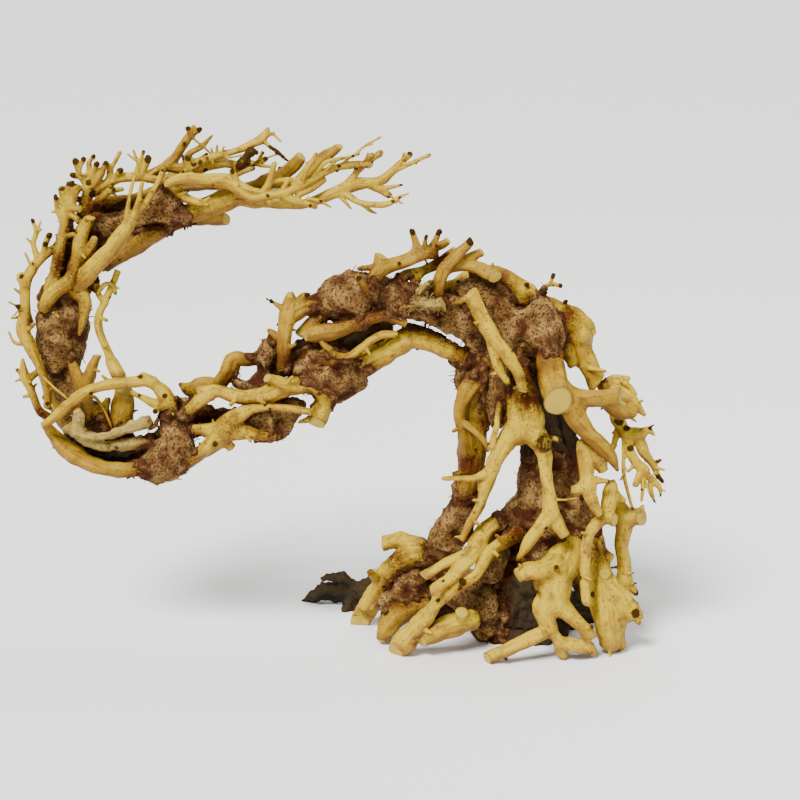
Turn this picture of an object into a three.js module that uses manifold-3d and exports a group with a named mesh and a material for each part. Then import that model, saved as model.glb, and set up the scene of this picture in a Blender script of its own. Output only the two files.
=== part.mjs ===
// A driftwood sculpture: pale root wood pieced together with brown wood putty on a dark stump, swept over
// into one long curling arm. Millimetres, +Z up. The origin is on the stump's flat underside.
import * as THREE from "three";
import { mergeVertices } from "three/addons/utils/BufferGeometryUtils.js";
import Module from "manifold-3d";

const wasm = await Module();
wasm.setup();

// Driving dimensions.
const VIEW_TILT = THREE.MathUtils.degToRad(14); // how far the drawing's view looks down
const VIEW_DISTANCE = 1500; // from the eye to the drawing
const VIEW_CENTRE = { across: -87.5, up: 168 }; // where the view's axis meets the drawing
const JOINT_GAP = 0.35; // room between two pieces that touch
const SECTION_SIDES = { thick: 5, thin: 4, twig: 3, putty: 6 };
const THICK_LIMB = 7; // a limb with this radius or more gets the finest section
const THIN_LIMB = 3.2; // and a twig below this one the plainest
const STRAY_ALLOWED = 0.42; // how far a limb may stray from its traced line, as a share of its radius
const GROUND_SLAB = { side: 1200, depth: 200 };
const WELD_DISTANCE = 1e-4; // corners nearer than this are one

const FINISH = {
  pale: { color: 0xd3b878, roughness: 0.62, metalness: 0 },
  ochre: { color: 0xb98b3f, roughness: 0.66, metalness: 0 },
  grey: { color: 0x9a9069, roughness: 0.85, metalness: 0 },
  dark: { color: 0x35291f, roughness: 0.8, metalness: 0 },
  putty: { color: 0x86603f, roughness: 0.95, metalness: 0 },
};

// Every limb is a list of stations: across, up and back, then the radius. Across and up are measured on a
// front drawing of the whole piece, and back is the depth behind the origin. A piece's later limbs grow out
// of its earlier ones.
const PIECES = [
  // The dark stump, the trunk on it, and the putty that beds them.
  ["base_stump", "dark", [
    [[-4, -6, 18, 31], [-2, 14, 18, 32], [2, 40, 17, 29], [12, 70, 15, 20]],
    [[-22, 22, 26, 19], [-58, 27, 42, 16], [-92, 34, 56, 10], [-120, 34.5, 70, 7.5], [-140, 33, 78, 6.5],
      [-151, 28.5, 83, 4.5], [-161, 21, 84, 1]],
    [[-114, 39, 66, 4], [-129, 43, 68, 3], [-143, 43, 70, 2.2]],
    [[-119, 30, 68, 6], [-125, 20, 64, 5], [-132, 14, 61, 2.6]],
    [[16, 18, 30, 19], [42, 19, 46, 13], [66, 20, 64, 8], [80, 21, 76, 4.5]],
    [[14, 62, 15, 18], [17, 80, 14, 17], [18, 104, 13, 18.5], [18, 130, 11, 18.5], [14, 156, 9, 16],
      [6, 184, 7, 13], [0, 207, 5, 9]],
    [[0, 188, 3, 8], [-13, 181, 0, 6.5], [-20, 164, 0, 4]],
  ]],
  // Roots that stand on the ground, from the left round to the right.
  ["foot_left", "pale", [
    [[-50, 61, 13, 7.5], [-66, 60, 14, 8.5], [-80, 59, 16, 8.6], [-92, 50, 18, 8], [-101, 38, 22, 7.5],
      [-109, 25, 26, 7.8], [-117, 10, 31, 6.5]],
    [[-74, 65, 18, 7.5], [-87, 69.5, 24, 6.6], [-99.5, 67.5, 28, 5.8]],
    [[-102, 43, 20, 5.5], [-107, 47, 15, 3.6]],
  ]],
  ["foot_left_small", "ochre", [
    [[-66, 27, 4, 6.5], [-80, 23, -1, 7], [-92, 15.5, -7, 8.2], [-98, 6, -10, 6], [-101, -1, -10, 2.6]],
    [[-88, 17, -8, 6], [-94, 5, -13, 2.6]],
  ]],
  ["root_front_left", "pale", [
    [[-3, 75, -16, 4.5], [-15, 69, -22, 4.7], [-24, 62, -27, 4.4], [-30, 53, -31, 4.3], [-35, 45, -34, 4.4],
      [-44, 39.5, -36, 4.2], [-54, 32, -38, 4], [-62, 25, -39, 4.4], [-71, 13, -37, 6.4], [-83, 0, -33, 7.6],
      [-92, -8, -30, 5.4]],
    [[-33, 64, -26, 5], [-45, 59, -31, 4.2], [-58, 52, -35, 4], [-71, 44.5, -37, 3.8]],
    [[-36, 61, -29, 5.4], [-44, 52, -35, 4.8], [-52, 43.5, -39, 4.6], [-59, 38.5, -41, 4.2], [-66, 33.5, -41, 3.2]],
    [[-57, 40, -40, 4], [-61, 31, -41, 3.8], [-65, 21, -39, 4.6]],
    [[-19, 83, -14, 6], [-28, 75, -19, 6], [-35, 64, -26, 6]],
  ]],
  ["foot_stub", "pale", [
    [[-38, 14, -27, 7], [-51, 11, -31, 8], [-63, 5, -34, 7], [-73, -1, -37, 5]],
    [[-44, 14, -30, 6.5], [-44.5, 19.5, -37, 4.8]],
  ]],
  ["webbed_root", "pale", [
    [[34, 72, -15, 6], [31, 58, -24, 8], [26, 46, -31, 8.5], [24, 36, -36, 7.5], [26, 24, -40, 7], [34, 15, -42, 6],
      [42, 8, -42, 5.4], [46, 0, -40, 5.2]],
    [[29, 68, -19, 6], [20, 57, -28, 7.5], [14, 44, -35, 7.5], [15, 32, -39, 6.5], [13, 21, -42, 6.5], [17, 9, -43, 6]],
    [[22, 45, -33, 8], [20, 24, -41, 8]],
    [[20, 52, -33, 8.4], [10, 49.5, -39, 7], [1, 47.5, -43, 6.4], [-5.5, 45, -45, 5]],
    [[14, 16, -42, 6], [18, 7, -43, 5], [24, -1, -42, 4.5], [26, -10.5, -39, 4.4]],
    [[24, -2, -42, 4.4], [35, -3.5, -41, 5], [44, -5, -38, 5], [49, -10, -35, 2.8]],
    [[16, 7, -43, 5], [4, 1, -46, 5], [-8, -5, -48, 4.8], [-20, -10, -48, 4.7], [-27, -13, -47, 4.8]],
  ]],
  ["root_right", "pale", [
    [[50, 76, -2, 5], [50, 62, -9, 7], [51, 50, -14, 8.6], [52, 38, -18, 9.4], [54, 26, -24, 10],
      [57, 13, -29, 9.4], [59, 0, -28, 7.5], [57, -4.5, -24, 6]],
    [[53, 51, -14, 6.4], [56, 46.5, -25, 4.4]],
    [[54, 44, -16, 7], [64, 34, -22, 6], [75, 22, -25, 5]],
    [[58, 34, -21, 7], [66, 18, -26, 7], [64, 4, -24, 5.5]],
    [[54, 60, -9, 5], [61, 57, -13, 3.6]],
    [[58, 24, -25, 8], [68, 20, -25, 6.8], [78, 18, -25, 5]],
    [[61, 9, -27, 7], [66, -4.5, -21, 5.4]],
  ]],
  ["outer_root_right", "pale", [
    [[62, 97, 0, 4.6], [68, 88, -2, 6.4], [69, 77, -4, 6], [68, 64, -4, 5.5], [70, 50, -4, 5.8],
      [69, 38, -5, 6], [69, 31, -6, 5]],
    [[69, 86, -3, 6.4], [82, 86, -5, 6.4]],
  ]],
  // The left leg and the limbs that hang down the front of the trunk.
  ["leg_left", "ochre", [
    [[-31, 215, 0, 5], [-29, 200, -2, 6.6], [-31, 184, -2, 7.2], [-34, 165, 0, 8], [-36, 145, 2, 9],
      [-37, 125, 4, 9.6], [-40, 108, 6, 9.6], [-43, 95, 8, 8.6]],
    [[-32, 184, -7, 6], [-40, 175, -10, 6], [-45, 165, -11, 4.8], [-46, 155, -10, 4.2], [-43, 144, -6, 4.8],
      [-40, 132, -2, 6]],
    [[-42, 151, -11, 3], [-34, 145, -16, 2.3], [-27.5, 138, -18, 2.4], [-26, 133, -18, 1.6]],
  ]],
  ["front_fork", "pale", [
    [[-8, 178, -15, 5], [-6, 166, -17, 7], [-4, 154, -19, 9.4], [-4, 146, -20, 8.8]],
    [[-1, 192, -14, 4], [2, 179, -16, 5], [5, 166, -18, 6], [6, 153, -19, 8]],
    [[-5, 149, -20, 8], [-14, 138, -22, 6.6], [-21, 125, -25, 5.6], [-26, 112, -26, 5.6], [-29, 100, -26, 4.5],
      [-34, 89, -25, 3.6], [-40, 79, -23, 3.2], [-44, 70, -21, 3.2]],
    [[0, 149, -20, 8], [8, 142, -21, 7.6], [13, 130, -23, 6.2], [15, 115, -27, 5], [17, 100, -31, 5],
      [18.5, 87, -35, 6]],
    [[18, 88, -35, 5.4], [11, 79, -38, 4.8], [3, 68, -39, 4.2], [-4.5, 57, -39, 2]],
    [[19, 88, -35, 5.2], [24, 79, -37, 4.6], [28.5, 72.5, -37, 4.2]],
    [[8, 141, -23, 6.4], [15, 137, -31, 5.6]],
    [[-24, 118, -26, 4], [-36, 113, -31, 3], [-47, 113, -32, 2.4], [-57, 113, -32, 2]],
    [[-18, 165, -17, 2.4], [-19.5, 156, -22, 2.6], [-20.5, 147, -25, 2.8], [-24, 133, -26, 3]],
  ]],
  ["front_strand", "pale", [
    [[-38, 243, -19, 5.5], [-34, 232, -22, 6], [-28, 221, -26, 5.6], [-20, 209, -29, 6], [-13, 198, -31, 6],
      [-6, 187, -31, 5.5], [-2, 174, -30, 4.2]],
    [[-24, 213, -28, 4], [-21, 200, -28, 4.4], [-16, 190, -29, 4], [-8, 180, -30, 3.6]],
  ]],
  ["sawn_fork", "ochre", [
    [[16, 208, -17, 7], [18, 194, -19, 8.6], [20, 182, -23, 10], [23, 167, -38, 10.4]],
    [[27, 174, -26, 7.4], [40, 169, -27, 6.4], [53, 169, -25, 6.2], [67, 170, -22, 6.4]],
    [[56, 168, -24, 6], [67, 161, -21, 6], [77, 159.5, -18, 4.4]],
    [[29, 170, -26, 8], [36, 156, -27, 7.6], [43, 146, -28, 6.6], [52, 138, -29, 6], [60, 129, -29, 4.8],
      [64.5, 119, -28, 1.4]],
  ]],
  ["drip_upper", "pale", [
    [[39, 140, -22, 3.4], [42, 129, -25, 5.6], [43, 116, -28, 5.2], [44.5, 106, -30, 6], [48, 96, -31, 4.6],
      [53, 87, -32, 2.6]],
    [[42, 107, -30, 5], [33, 105, -31, 3]],
    [[45, 134, -24, 4.6], [51, 126, -23, 6], [55, 118, -23, 4]],
  ]],
  ["drip_lower", "pale", [
    [[61, 108, -14, 4.6], [59, 98, -18, 6.4], [56, 88, -22, 5.6], [47, 78, -30, 4.4], [42.5, 66, -35, 4],
      [42, 52, -40, 3.6], [42, 38, -44, 3.4], [43, 24.5, -48, 3.4]],
    [[55, 87, -23, 5], [63, 84, -28, 4.6]],
    [[60, 103, -16, 5], [69, 98, -14, 2.6]],
  ]],
  ["twigs_right", "pale", [
    [[51, 178, 14, 4], [60, 177, 8, 4.8], [69, 171, 3, 5], [76, 166, 0, 4.4], [83.5, 158, -2, 1.6]],
    [[62, 180, 7, 2.6], [71, 179, 4, 2.6], [77, 172, 2, 1.8]],
    [[62, 175, 7, 4.8], [63, 162, 3, 4.8], [67, 150, 0, 4.8], [72, 144, -2, 5]],
    [[70, 145, -2, 4.6], [80, 144, -4, 4.6], [86, 147, -5, 3], [90.5, 143.5, -6, 1]],
    [[72, 144, -3, 4.6], [73, 133, -5, 4], [78, 124, -8, 4], [84, 119, -9, 3.6]],
    [[79, 143, -4, 4], [83, 132, -4, 4.2], [90, 122, -3, 2.8], [93, 115, -3, 2.2], [96.5, 111, -3, 1.4]],
    [[82, 120, -9, 3.2], [90, 111, -8, 2.8], [94, 107, -8, 2.4], [95, 100.5, -8, 1]],
    [[81, 120, -9, 2.6], [82.5, 108, -11, 1.9], [81.5, 97.5, -12, 1.2]],
    [[69.5, 140, -4, 2.4], [69, 118, -7, 1.6], [72, 104, -8, 1.5], [75, 92.5, -8, 1.2]],
  ]],
  // The crown, and the top of the arm.
  ["top_limb", "pale", [
    [[-33, 257, 7, 6], [-20, 252, 4, 9.4], [-8, 245, 3, 9.6], [5, 237, 3, 9], [18, 230, 4, 8.6],
      [30, 225, 5, 9.6], [38, 216, 6, 10], [39.5, 203, 7, 7.8], [45, 191, 8, 7.6], [51, 179, 9, 7.8]],
    [[38, 219, 6, 8], [47, 215, 4, 1.8]],
    [[22, 218, 2, 6], [28, 204, 2, 4.4], [34, 191, 2, 3.4]],
    [[9, 238, 0, 2.8], [12, 245, -3, 1.8], [18, 249, -5, 1.8], [25, 248, -6, 1.7]],
  ]],
  ["fork_top", "ochre", [
    [[-61, 238, -17, 4.4], [-60, 248, -18, 4.5], [-57, 258, -17, 5], [-50, 267, -16, 4.6], [-43, 274, -15, 3.8],
      [-37, 280, -14, 3.4]],
    [[-56, 260, -16, 5], [-45, 262, -12, 4.2], [-35, 260.5, -12, 5], [-27, 257, -13, 6], [-20, 254, -17, 4.4]],
    [[-46, 263, -12, 3.5], [-38, 268, -10, 3.5], [-30, 272, -8, 3.2]],
  ]],
  ["antler_top", "ochre", [
    [[-108, 241, -25, 3], [-106, 250, -24, 4], [-101, 259, -20, 5.5], [-92, 263, -15, 4.8], [-82, 266, -12, 5],
      [-72, 271, -10, 5.4], [-64, 270, -9, 4.4]],
    [[-75, 272, -10, 4], [-77, 280, -9, 2.6], [-79, 286, -9, 2.4]],
    [[-66, 272, -9, 4], [-63, 279, -7, 2.6], [-60, 286, -6, 2.3]],
    [[-102, 261, -19, 5], [-100.5, 269, -19, 4.2]],
  ]],
  ["limb_behind_top", "pale", [
    [[-104, 237, -22, 2], [-93, 249, -14, 3], [-84, 256, -8, 3.6], [-72, 258, -4, 4], [-60, 264, -1, 4.4],
      [-48, 273, 2, 3.6]],
    [[-77, 241, -15, 2.4], [-77, 250, -11, 2.8], [-73, 257, -6, 3.2]],
  ]],
  ["weathered_limb", "grey", [
    [[-98, 227, -18, 2.6], [-86, 233, -21, 5.4], [-74, 236, -23, 5.4], [-64, 235, -25, 5], [-56, 234.5, -27, 4.8]],
    [[-84, 236, -21, 3], [-74, 244, -22, 3], [-66, 250, -23, 2]],
  ]],
  ["band_under", "ochre", [
    [[-154, 213, -20, 4.2], [-144, 214.5, -21, 6.4], [-132, 217, -21, 5.8], [-120, 220.5, -21, 4.6], [-107, 225, -21, 4.2],
      [-97, 227, -20, 4], [-89, 224, -21, 3.2], [-83, 221, -22, 2.8]],
    [[-158, 213, -14, 3.6], [-150, 220, -14, 5], [-141, 228.5, -14, 4.2]],
  ]],
  ["arm_core", "dark", [
    [[-171, 193, -4, 8.4], [-155, 200, -4, 9], [-138, 205, -5, 9], [-120, 212, -5, 8.6], [-105, 218, -4, 8],
      [-93, 222, -3, 6]],
  ]],
  ["pale_antler", "pale", [
    [[-91, 214, -17, 2.6], [-102, 213, -18, 3.4], [-112, 206, -20, 3.4], [-122, 199, -22, 3.2],
      [-131, 198, -23, 3.8], [-137, 203, -24, 2.8], [-142, 208, -24, 2.2]],
  ]],
  ["arm_lower", "pale", [
    [[-127, 185, -10, 5.4], [-114, 193, -9, 7.8], [-100, 201, -8, 8.2], [-88, 208.5, -7, 8.4], [-78, 212, -6, 8.5],
      [-65, 208, -5, 7.4], [-52, 202, -4, 7], [-41, 196.5, -3, 6.6]],
  ]],
  ["antler_mid", "ochre", [
    [[-170, 188, -21, 3.4], [-169, 200, -22, 4.8], [-168, 215, -21, 5], [-166, 228, -19, 5.6],
      [-165, 237, -18, 4.3], [-164, 242, -18, 3.5]],
    [[-166, 226, -18, 6], [-156, 233, -15, 6.6], [-146, 236, -13, 5.6], [-139, 238, -12, 4.6]],
    [[-158, 236, -16, 4], [-155, 241, -18, 3], [-152, 242, -19, 1.8]],
    [[-168, 214, -20, 4.4], [-174, 212, -18, 4.4], [-178.5, 216, -17, 2.4]],
  ]],
  // The underside of the arm, from the middle to the bend.
  ["bridge_limb", "ochre", [
    [[-220, 173, -10, 4.4], [-213, 181, -12, 5.2], [-207, 190, -13, 6], [-203, 197, -13, 5.6],
      [-194, 196, -13, 4.3], [-186, 198, -12, 3.8]],
    [[-214, 178, -10, 4.4], [-224, 178, -8, 6.8], [-232, 175, -7, 6.6], [-241, 178.5, -6, 1.6]],
  ]],
  ["mid_limb", "pale", [
    [[-229, 174, -22, 3.8], [-215, 174, -23, 4.8], [-200, 170, -25, 5], [-188, 170, -26, 6], [-174, 175, -26, 6.4],
      [-160, 178, -25, 6], [-148, 177, -24, 5.6], [-140, 168, -24, 7], [-143.5, 158, -24, 7.5],
      [-146, 151.5, -25, 6.4]],
    [[-239, 157, -24, 3.6], [-231, 165, -25, 4.6], [-220, 172, -24, 4.6]],
    [[-145, 156, -25, 4], [-158, 152.5, -27, 1.4]],
    [[-168, 179, -29, 4.4], [-181, 183.5, -33, 3.4]],
  ]],
  ["lower_web", "pale", [
    [[-240, 121, -24, 4], [-229, 129, -25, 5], [-218, 138, -27, 6.6], [-210, 147, -28, 7.6], [-202, 156, -30, 6],
      [-192, 161.5, -33, 3.4], [-178, 163, -33, 2.6], [-164, 162, -32, 2.6], [-150, 159.5, -32, 2.8]],
    [[-233, 148, -24, 3.5], [-222, 147, -26, 4.6], [-210, 147, -28, 7]],
    [[-208, 146, -28, 7], [-196, 146, -29, 6], [-184, 143, -28, 4], [-174, 143, -27, 3]],
    [[-211, 140, -27, 4.4], [-205, 134, -26, 3.4]],
  ]],
  ["bend_core", "dark", [
    [[-318, 150, -2, 6.5], [-302, 138, -3, 8.5], [-282, 133, -4, 8.6], [-262, 135, -5, 7.6], [-245, 144, -6, 7.6],
      [-229, 152.5, -7, 8.4], [-214, 152.5, -8, 8], [-198, 155, -8, 6.6], [-180, 164, -7, 6.6], [-170, 172, -6, 5]],
  ]],
  ["sweep_bottom", "ochre", [
    [[-336, 152, -12, 3], [-330, 143, -13, 4.8], [-320, 133, -15, 6.6], [-307, 124, -17, 6.5], [-292, 120, -18, 6],
      [-277, 119, -18, 5.6], [-262, 121, -18, 5]],
  ]],
  ["bark_band", "grey", [
    [[-321, 151, -23, 5.4], [-312, 145, -25, 5.4], [-300, 142, -26, 3.8], [-286, 145, -26, 3.6],
      [-272, 150, -25, 4.2], [-261, 154, -24, 4.2]],
    [[-314, 147, -25, 4.6], [-312, 156, -27, 4.4], [-314, 161.5, -28, 2.8]],
    [[-310, 141, -24, 4.6], [-296, 136.5, -22, 4.4], [-280, 137, -20, 5], [-263, 139, -18, 4.4]],
  ]],
  ["arch_limb", "pale", [
    [[-338, 149.5, -24, 3], [-328, 157, -27, 4], [-317, 167, -29, 4.2], [-305, 175, -29, 4.2], [-292, 179, -28, 4.2],
      [-278, 180, -27, 4.4], [-265, 181, -25, 4.4], [-256, 176, -23, 5], [-250, 168, -22, 6.4], [-249, 160, -22, 7]],
    [[-261, 181, -25, 4.4], [-269, 186, -27, 2.6]],
    [[-256, 164, -23, 4], [-266, 169, -26, 2.6], [-275, 173, -28, 1.8]],
  ]],
  ["block_stub", "ochre", [
    [[-280, 175, -13, 6.4], [-281, 165, -13, 7], [-282, 152, -13, 8], [-281, 146, -13, 7.4]],
  ]],
  ["y_stub", "ochre", [
    [[-318, 197.5, -17, 3], [-314, 186, -18, 4.4], [-309, 173, -17, 5.4], [-306, 158, -14, 5.4]],
    [[-299, 199.5, -15, 3.2], [-304, 189, -16, 4.6], [-308, 175, -17, 5]],
    [[-306, 163, -15, 4.4], [-297, 160, -14, 4.6], [-292, 168, -14, 2.2]],
    [[-297, 160, -14, 4.4], [-293, 150, -15, 4]],
  ]],
  // The left side, up to the top of the curl.
  ["riser_inner", "pale", [
    [[-284, 185, -22, 4.4], [-288, 192, -19, 3.8], [-293, 204, -17, 3.4], [-298, 216, -15, 3.2],
      [-298, 227, -14, 3], [-294, 237, -12, 3], [-289, 248, -10, 2.6], [-285, 259, -9, 2.6]],
    [[-294, 236, -12, 2.6], [-299, 243, -10, 2.2], [-300, 253, -8, 2.6]],
  ]],
  ["riser_outer", "pale", [
    [[-334, 162, -16, 3.4], [-335, 175, -18, 3.4], [-340, 192, -19, 3.8], [-346, 205, -18, 4.5],
      [-351, 216, -16, 5], [-350, 230, -14, 4], [-350, 245, -12, 3.8], [-347, 256, -10, 4], [-340, 266, -8, 3.6],
      [-330, 274, -6, 3.2]],
    [[-350, 248, -12, 3.6], [-354, 256, -13, 3]],
    [[-341, 267, -8, 2.8], [-344, 277, -9, 2], [-342, 286, -9, 2], [-345, 294, -9, 1.4]],
    [[-337, 269, -8, 2.6], [-336, 277, -9, 2.6], [-333, 283.5, -9, 2.2]],
    [[-348, 208, -17, 2.4], [-357, 208, -19, 1.4], [-361.5, 216, -19, 0.7]],
  ]],
  ["stem_lower_left", "pale", [
    [[-333, 155, -6, 4.4], [-340, 161, -8, 3.6], [-346, 175, -8, 3.2], [-350, 184, -7, 4], [-351.5, 196, -7, 1.6]],
  ]],
  ["stem_left", "pale", [
    [[-337, 234, -14, 4.6], [-332, 246, -12, 5.5], [-328, 260, -10, 5], [-325, 275, -9, 5], [-322, 290, -9, 4.6],
      [-321, 302, -9, 4.2], [-324, 317, -9, 2.6]],
    [[-321, 300, -9, 3.8], [-316, 309, -12, 3.2], [-317, 320, -13, 2]],
    [[-323, 292, -10, 3], [-328, 304, -12, 1.8], [-328.5, 311, -13, 1.3]],
  ]],
  ["strut_long", "pale", [
    [[-316, 243, -8, 5.5], [-309, 253, -15, 6.8], [-300, 263, -20, 7.2], [-289, 275, -20, 6.8], [-280, 287, -20, 6],
      [-271, 299, -19, 4.4], [-262, 312, -18, 3.2], [-253, 328, -17, 1.8]],
    [[-278, 290, -20, 4], [-278, 302, -21, 1.9], [-275, 318, -21, 1.5], [-273, 325, -21, 1.2]],
    [[-275, 293, -20, 3.6], [-271, 306, -22, 2], [-268, 320, -23, 1.6]],
  ]],
  ["twig_crown_left", "pale", [
    [[-307, 292, -5, 4.4], [-307, 308, -6, 4.2], [-305, 320, -7, 3.2], [-305, 335, -7, 1.8]],
    [[-306, 317, -7, 2.6], [-311, 325, -8, 2.4], [-315, 335, -9, 2.2]],
    [[-304, 312, -5, 3.4], [-296, 318, -4, 3.8], [-286, 323, -3, 4], [-276, 324, -3, 3.8], [-266, 324, -4, 3.8],
      [-256, 321, -7, 3.4], [-247, 317, -12, 3.4], [-240, 311, -15, 3.6], [-232, 307, -17, 2.8],
      [-225, 306, -18, 2.2], [-218.5, 301.5, -18, 1]],
    [[-301, 313, -4, 2.6], [-282, 315.5, -5, 1.8]],
    [[-272, 325, -4, 3.4], [-270, 333, -6, 2], [-267, 342, -7, 1.3]],
  ]],
  ["horn_top", "ochre", [
    [[-268, 325, 6, 3], [-255, 329, 6, 3.6], [-247, 335, 6, 3.8], [-241, 343, 5, 3], [-236, 351, 4, 3],
      [-232, 358.5, 3, 2.4]],
    [[-249, 331, 6, 3.6], [-239, 331, 5, 3.4], [-235, 340, 4, 2.8], [-226, 345, 2, 1.6], [-219, 353, 1, 0.9]],
  ]],
  ["under_limb", "ochre", [
    [[-293, 261, 0, 4], [-282, 271, 0, 6.4], [-270, 279, 1, 7.4], [-256, 287, 2, 7], [-240, 294, 3, 6],
      [-224, 295, 4, 5.4], [-208.5, 294.5, 4, 4.6]],
  ]],
  ["spray_tip", "pale", [
    [[-243, 296, -8, 4.8], [-230, 300, -7, 6.4], [-215, 306, -6, 6.8], [-200, 311, -4, 6.8], [-185, 308, -4, 6],
      [-170, 306, -4, 5], [-155, 305, -5, 3.6], [-142, 309.5, -6, 4], [-130, 315, -6, 4.4], [-120, 319, -5, 4.6],
      [-110, 320, -4, 4], [-102, 321, -3, 3.8], [-94, 327, -2, 3], [-80.5, 340, 0, 2.2]],
    [[-92, 328.5, -2, 2.4], [-79, 334, -4, 1.8], [-67, 339.5, -6, 1.5]],
    [[-125, 318, -6, 3], [-118, 327, -8, 2.6], [-107, 340, -11, 1.6]],
    [[-115, 330, -9, 2.4], [-101.5, 341, -9, 2]],
    [[-138, 310, -7, 3], [-126, 312, -9, 2.2], [-117, 307, -10, 2], [-107.5, 300, -10, 1.4]],
    [[-127, 312, -9, 2.2], [-115, 306, -13, 2.2], [-104, 304.5, -14, 2.2], [-95, 305.5, -14, 2.2],
      [-88, 310, -14, 1.6], [-81.5, 312.5, -14, 0.7]],
  ]],
  ["spray_front", "pale", [
    [[-252, 319, -24, 2.6], [-240, 323, -22, 3.8], [-224, 322, -18, 4.5], [-210, 321, -16, 5], [-200, 316, -17, 5],
      [-191, 310, -19, 4.6], [-181, 311, -20, 4.6], [-170, 313, -18, 4], [-160, 317, -16, 4.2],
      [-150, 322, -14, 3.6], [-141, 327, -12, 3], [-131, 331, -11, 2.6], [-118, 333, -10, 3], [-107, 333, -9, 2.8]],
    [[-184, 312, -20, 3], [-179, 320, -22, 2.8], [-175.5, 333, -23, 2.2]],
    [[-179, 321, -21, 2.2], [-165, 322, -17, 2.2], [-153, 321, -14, 2.4]],
    [[-158, 319, -16, 3.4], [-154, 328, -18, 2.8], [-146, 340, -20, 1.4]],
    [[-160, 311, -17, 3], [-150, 316, -13, 3], [-141, 322, -11, 2.4]],
    [[-150, 323, -14, 2.4], [-140, 334, -15, 1.8], [-129, 337, -15, 1.4], [-120, 339, -15, 1.4],
      [-112, 346, -14, 1.2], [-101, 352, -13, 0.9]],
    [[-170, 311, -18, 3], [-160, 307, -18, 3], [-147, 303.5, -18, 2.2]],
  ]],
  ["spray_back", "ochre", [
    [[-200, 316, 8, 3.6], [-183, 320, 9, 4.8], [-171, 325, 10, 4.8], [-163, 331, 9, 4.4], [-156.5, 339, 8, 4]],
    [[-178, 320, 9, 4.5], [-162, 320, 8, 3.6], [-151, 328, 7, 4.4], [-140, 338, 6, 4.8], [-129.5, 346, 5, 3]],
  ]],
  ["twig_crown_right", "pale", [
    [[-244, 321, -13, 2.8], [-236, 328, -11, 3.2], [-228, 334, -9, 3], [-215, 339, -6, 3], [-203, 342, -5, 2.6],
      [-191, 347, -4, 3], [-184, 351, -4, 3.4], [-180, 357.5, -4, 1.8]],
    [[-184, 352, -4, 2.4], [-176, 355, -6, 1.4]],
    [[-184, 350, -4, 2], [-177, 344, -7, 1.4], [-166.5, 335.5, -9, 0.5]],
    [[-236, 326, -9, 3.2], [-224, 331, -3, 3.6], [-213, 334, -1, 3.8], [-198, 332, -1, 3.2], [-195, 338, -2, 3.4],
      [-190.5, 342, -4, 2.6]],
    [[-197, 333, -1, 3], [-188, 334, -3, 2], [-183.5, 341, -5, 1.2]],
  ]],
  // Limbs on the side that the front view does not show.
  ["back_limb_trunk", "ochre", [
    [[20, 226, 19, 6], [14, 206, 24, 7.5], [13, 184, 27, 8], [16, 160, 31, 8.4], [20, 135, 36, 9],
      [23, 110, 39, 9], [26, 84, 43, 9], [33, 58, 52, 8.6], [42, 36, 64, 7.6], [48, 21, 74, 5.6]],
    [[16, 164, 31, 7], [5, 146, 37, 6], [2, 120, 40, 5.6], [3, 92, 45, 5.2], [-8, 62, 56, 5], [-22, 38, 66, 4.6],
      [-34, 20, 74, 3.6]],
    [[21, 128, 38, 6], [28, 114, 50, 4.4], [30, 98, 58, 2.6]],
  ]],
  ["back_limb_crown", "pale", [
    [[-82, 240, 11, 4.6], [-64, 244, 14, 6.2], [-46, 247, 17, 6.4], [-28, 249, 19, 6.8], [-10, 244, 21, 7.6],
      [8, 236, 21, 8], [23, 228, 21, 6.8], [35, 216, 22, 4.6]],
    [[-48, 248, 19, 5], [-42, 255, 30, 3.6], [-36, 259, 42, 2.2]],
    [[2, 240, 24, 5], [10, 240, 36, 3.8], [22, 234, 46, 2.4]],
    [[-66, 244, 16, 4.6], [-78, 247, 28, 3.4], [-92, 249, 38, 1.8]],
  ]],
  ["back_limb_arm", "pale", [
    [[-44, 226, 11, 5.6], [-62, 230, 12, 6.4], [-84, 232, 10, 6.8], [-105, 230, 9, 7], [-124, 222, 9, 7],
      [-144, 206, 9, 6.8], [-160, 196, 9, 6.4], [-174, 187, 8, 5.6], [-186, 175, 6, 4.4]],
    [[-104, 232, 12, 5], [-112, 238, 25, 4], [-126, 242, 38, 2]],
    [[-146, 206, 13, 5], [-154, 206, 26, 3.8], [-166, 200, 37, 2]],
  ]],
  ["back_limb_left", "ochre", [
    [[-238, 140, 5, 5.4], [-262, 132, 7, 6.2], [-284, 131, 8, 6.8], [-306, 137, 8, 6.8], [-321, 151, 9, 6.4],
      [-327, 168, 12, 6.4], [-326, 190, 17, 6.8], [-327, 214, 19, 7.4], [-321, 238, 18, 7.2], [-313, 258, 18, 6.6],
      [-302, 276, 19, 5.4]],
    [[-327, 204, 20, 5], [-334, 216, 31, 4], [-334, 234, 40, 2]],
    [[-304, 136, 11, 5], [-298, 146, 24, 3.8], [-284, 148, 36, 2]],
    [[-318, 244, 20, 5], [-310, 252, 32, 3.6], [-304, 266, 41, 1.8]],
  ]],
  ["back_limb_top", "ochre", [
    [[-312, 298, 14, 5], [-296, 305, 15, 5.8], [-281, 306, 15, 6], [-266, 308, 15, 6.2], [-253, 315, 16, 5.8],
      [-236, 319, 16, 5.8], [-215, 320, 15, 5.6], [-203, 319, 13, 4]],
    [[-254, 317, 18, 4.4], [-246, 326, 28, 3.4], [-238, 332, 37, 2]],
    [[-222, 321, 18, 4], [-208, 324, 28, 3], [-190, 330, 37, 1.6]],
    [[-292, 306, 17, 4.6], [-300, 314, 27, 3.4], [-303, 324, 34, 1.8]],
  ]],
];

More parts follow.
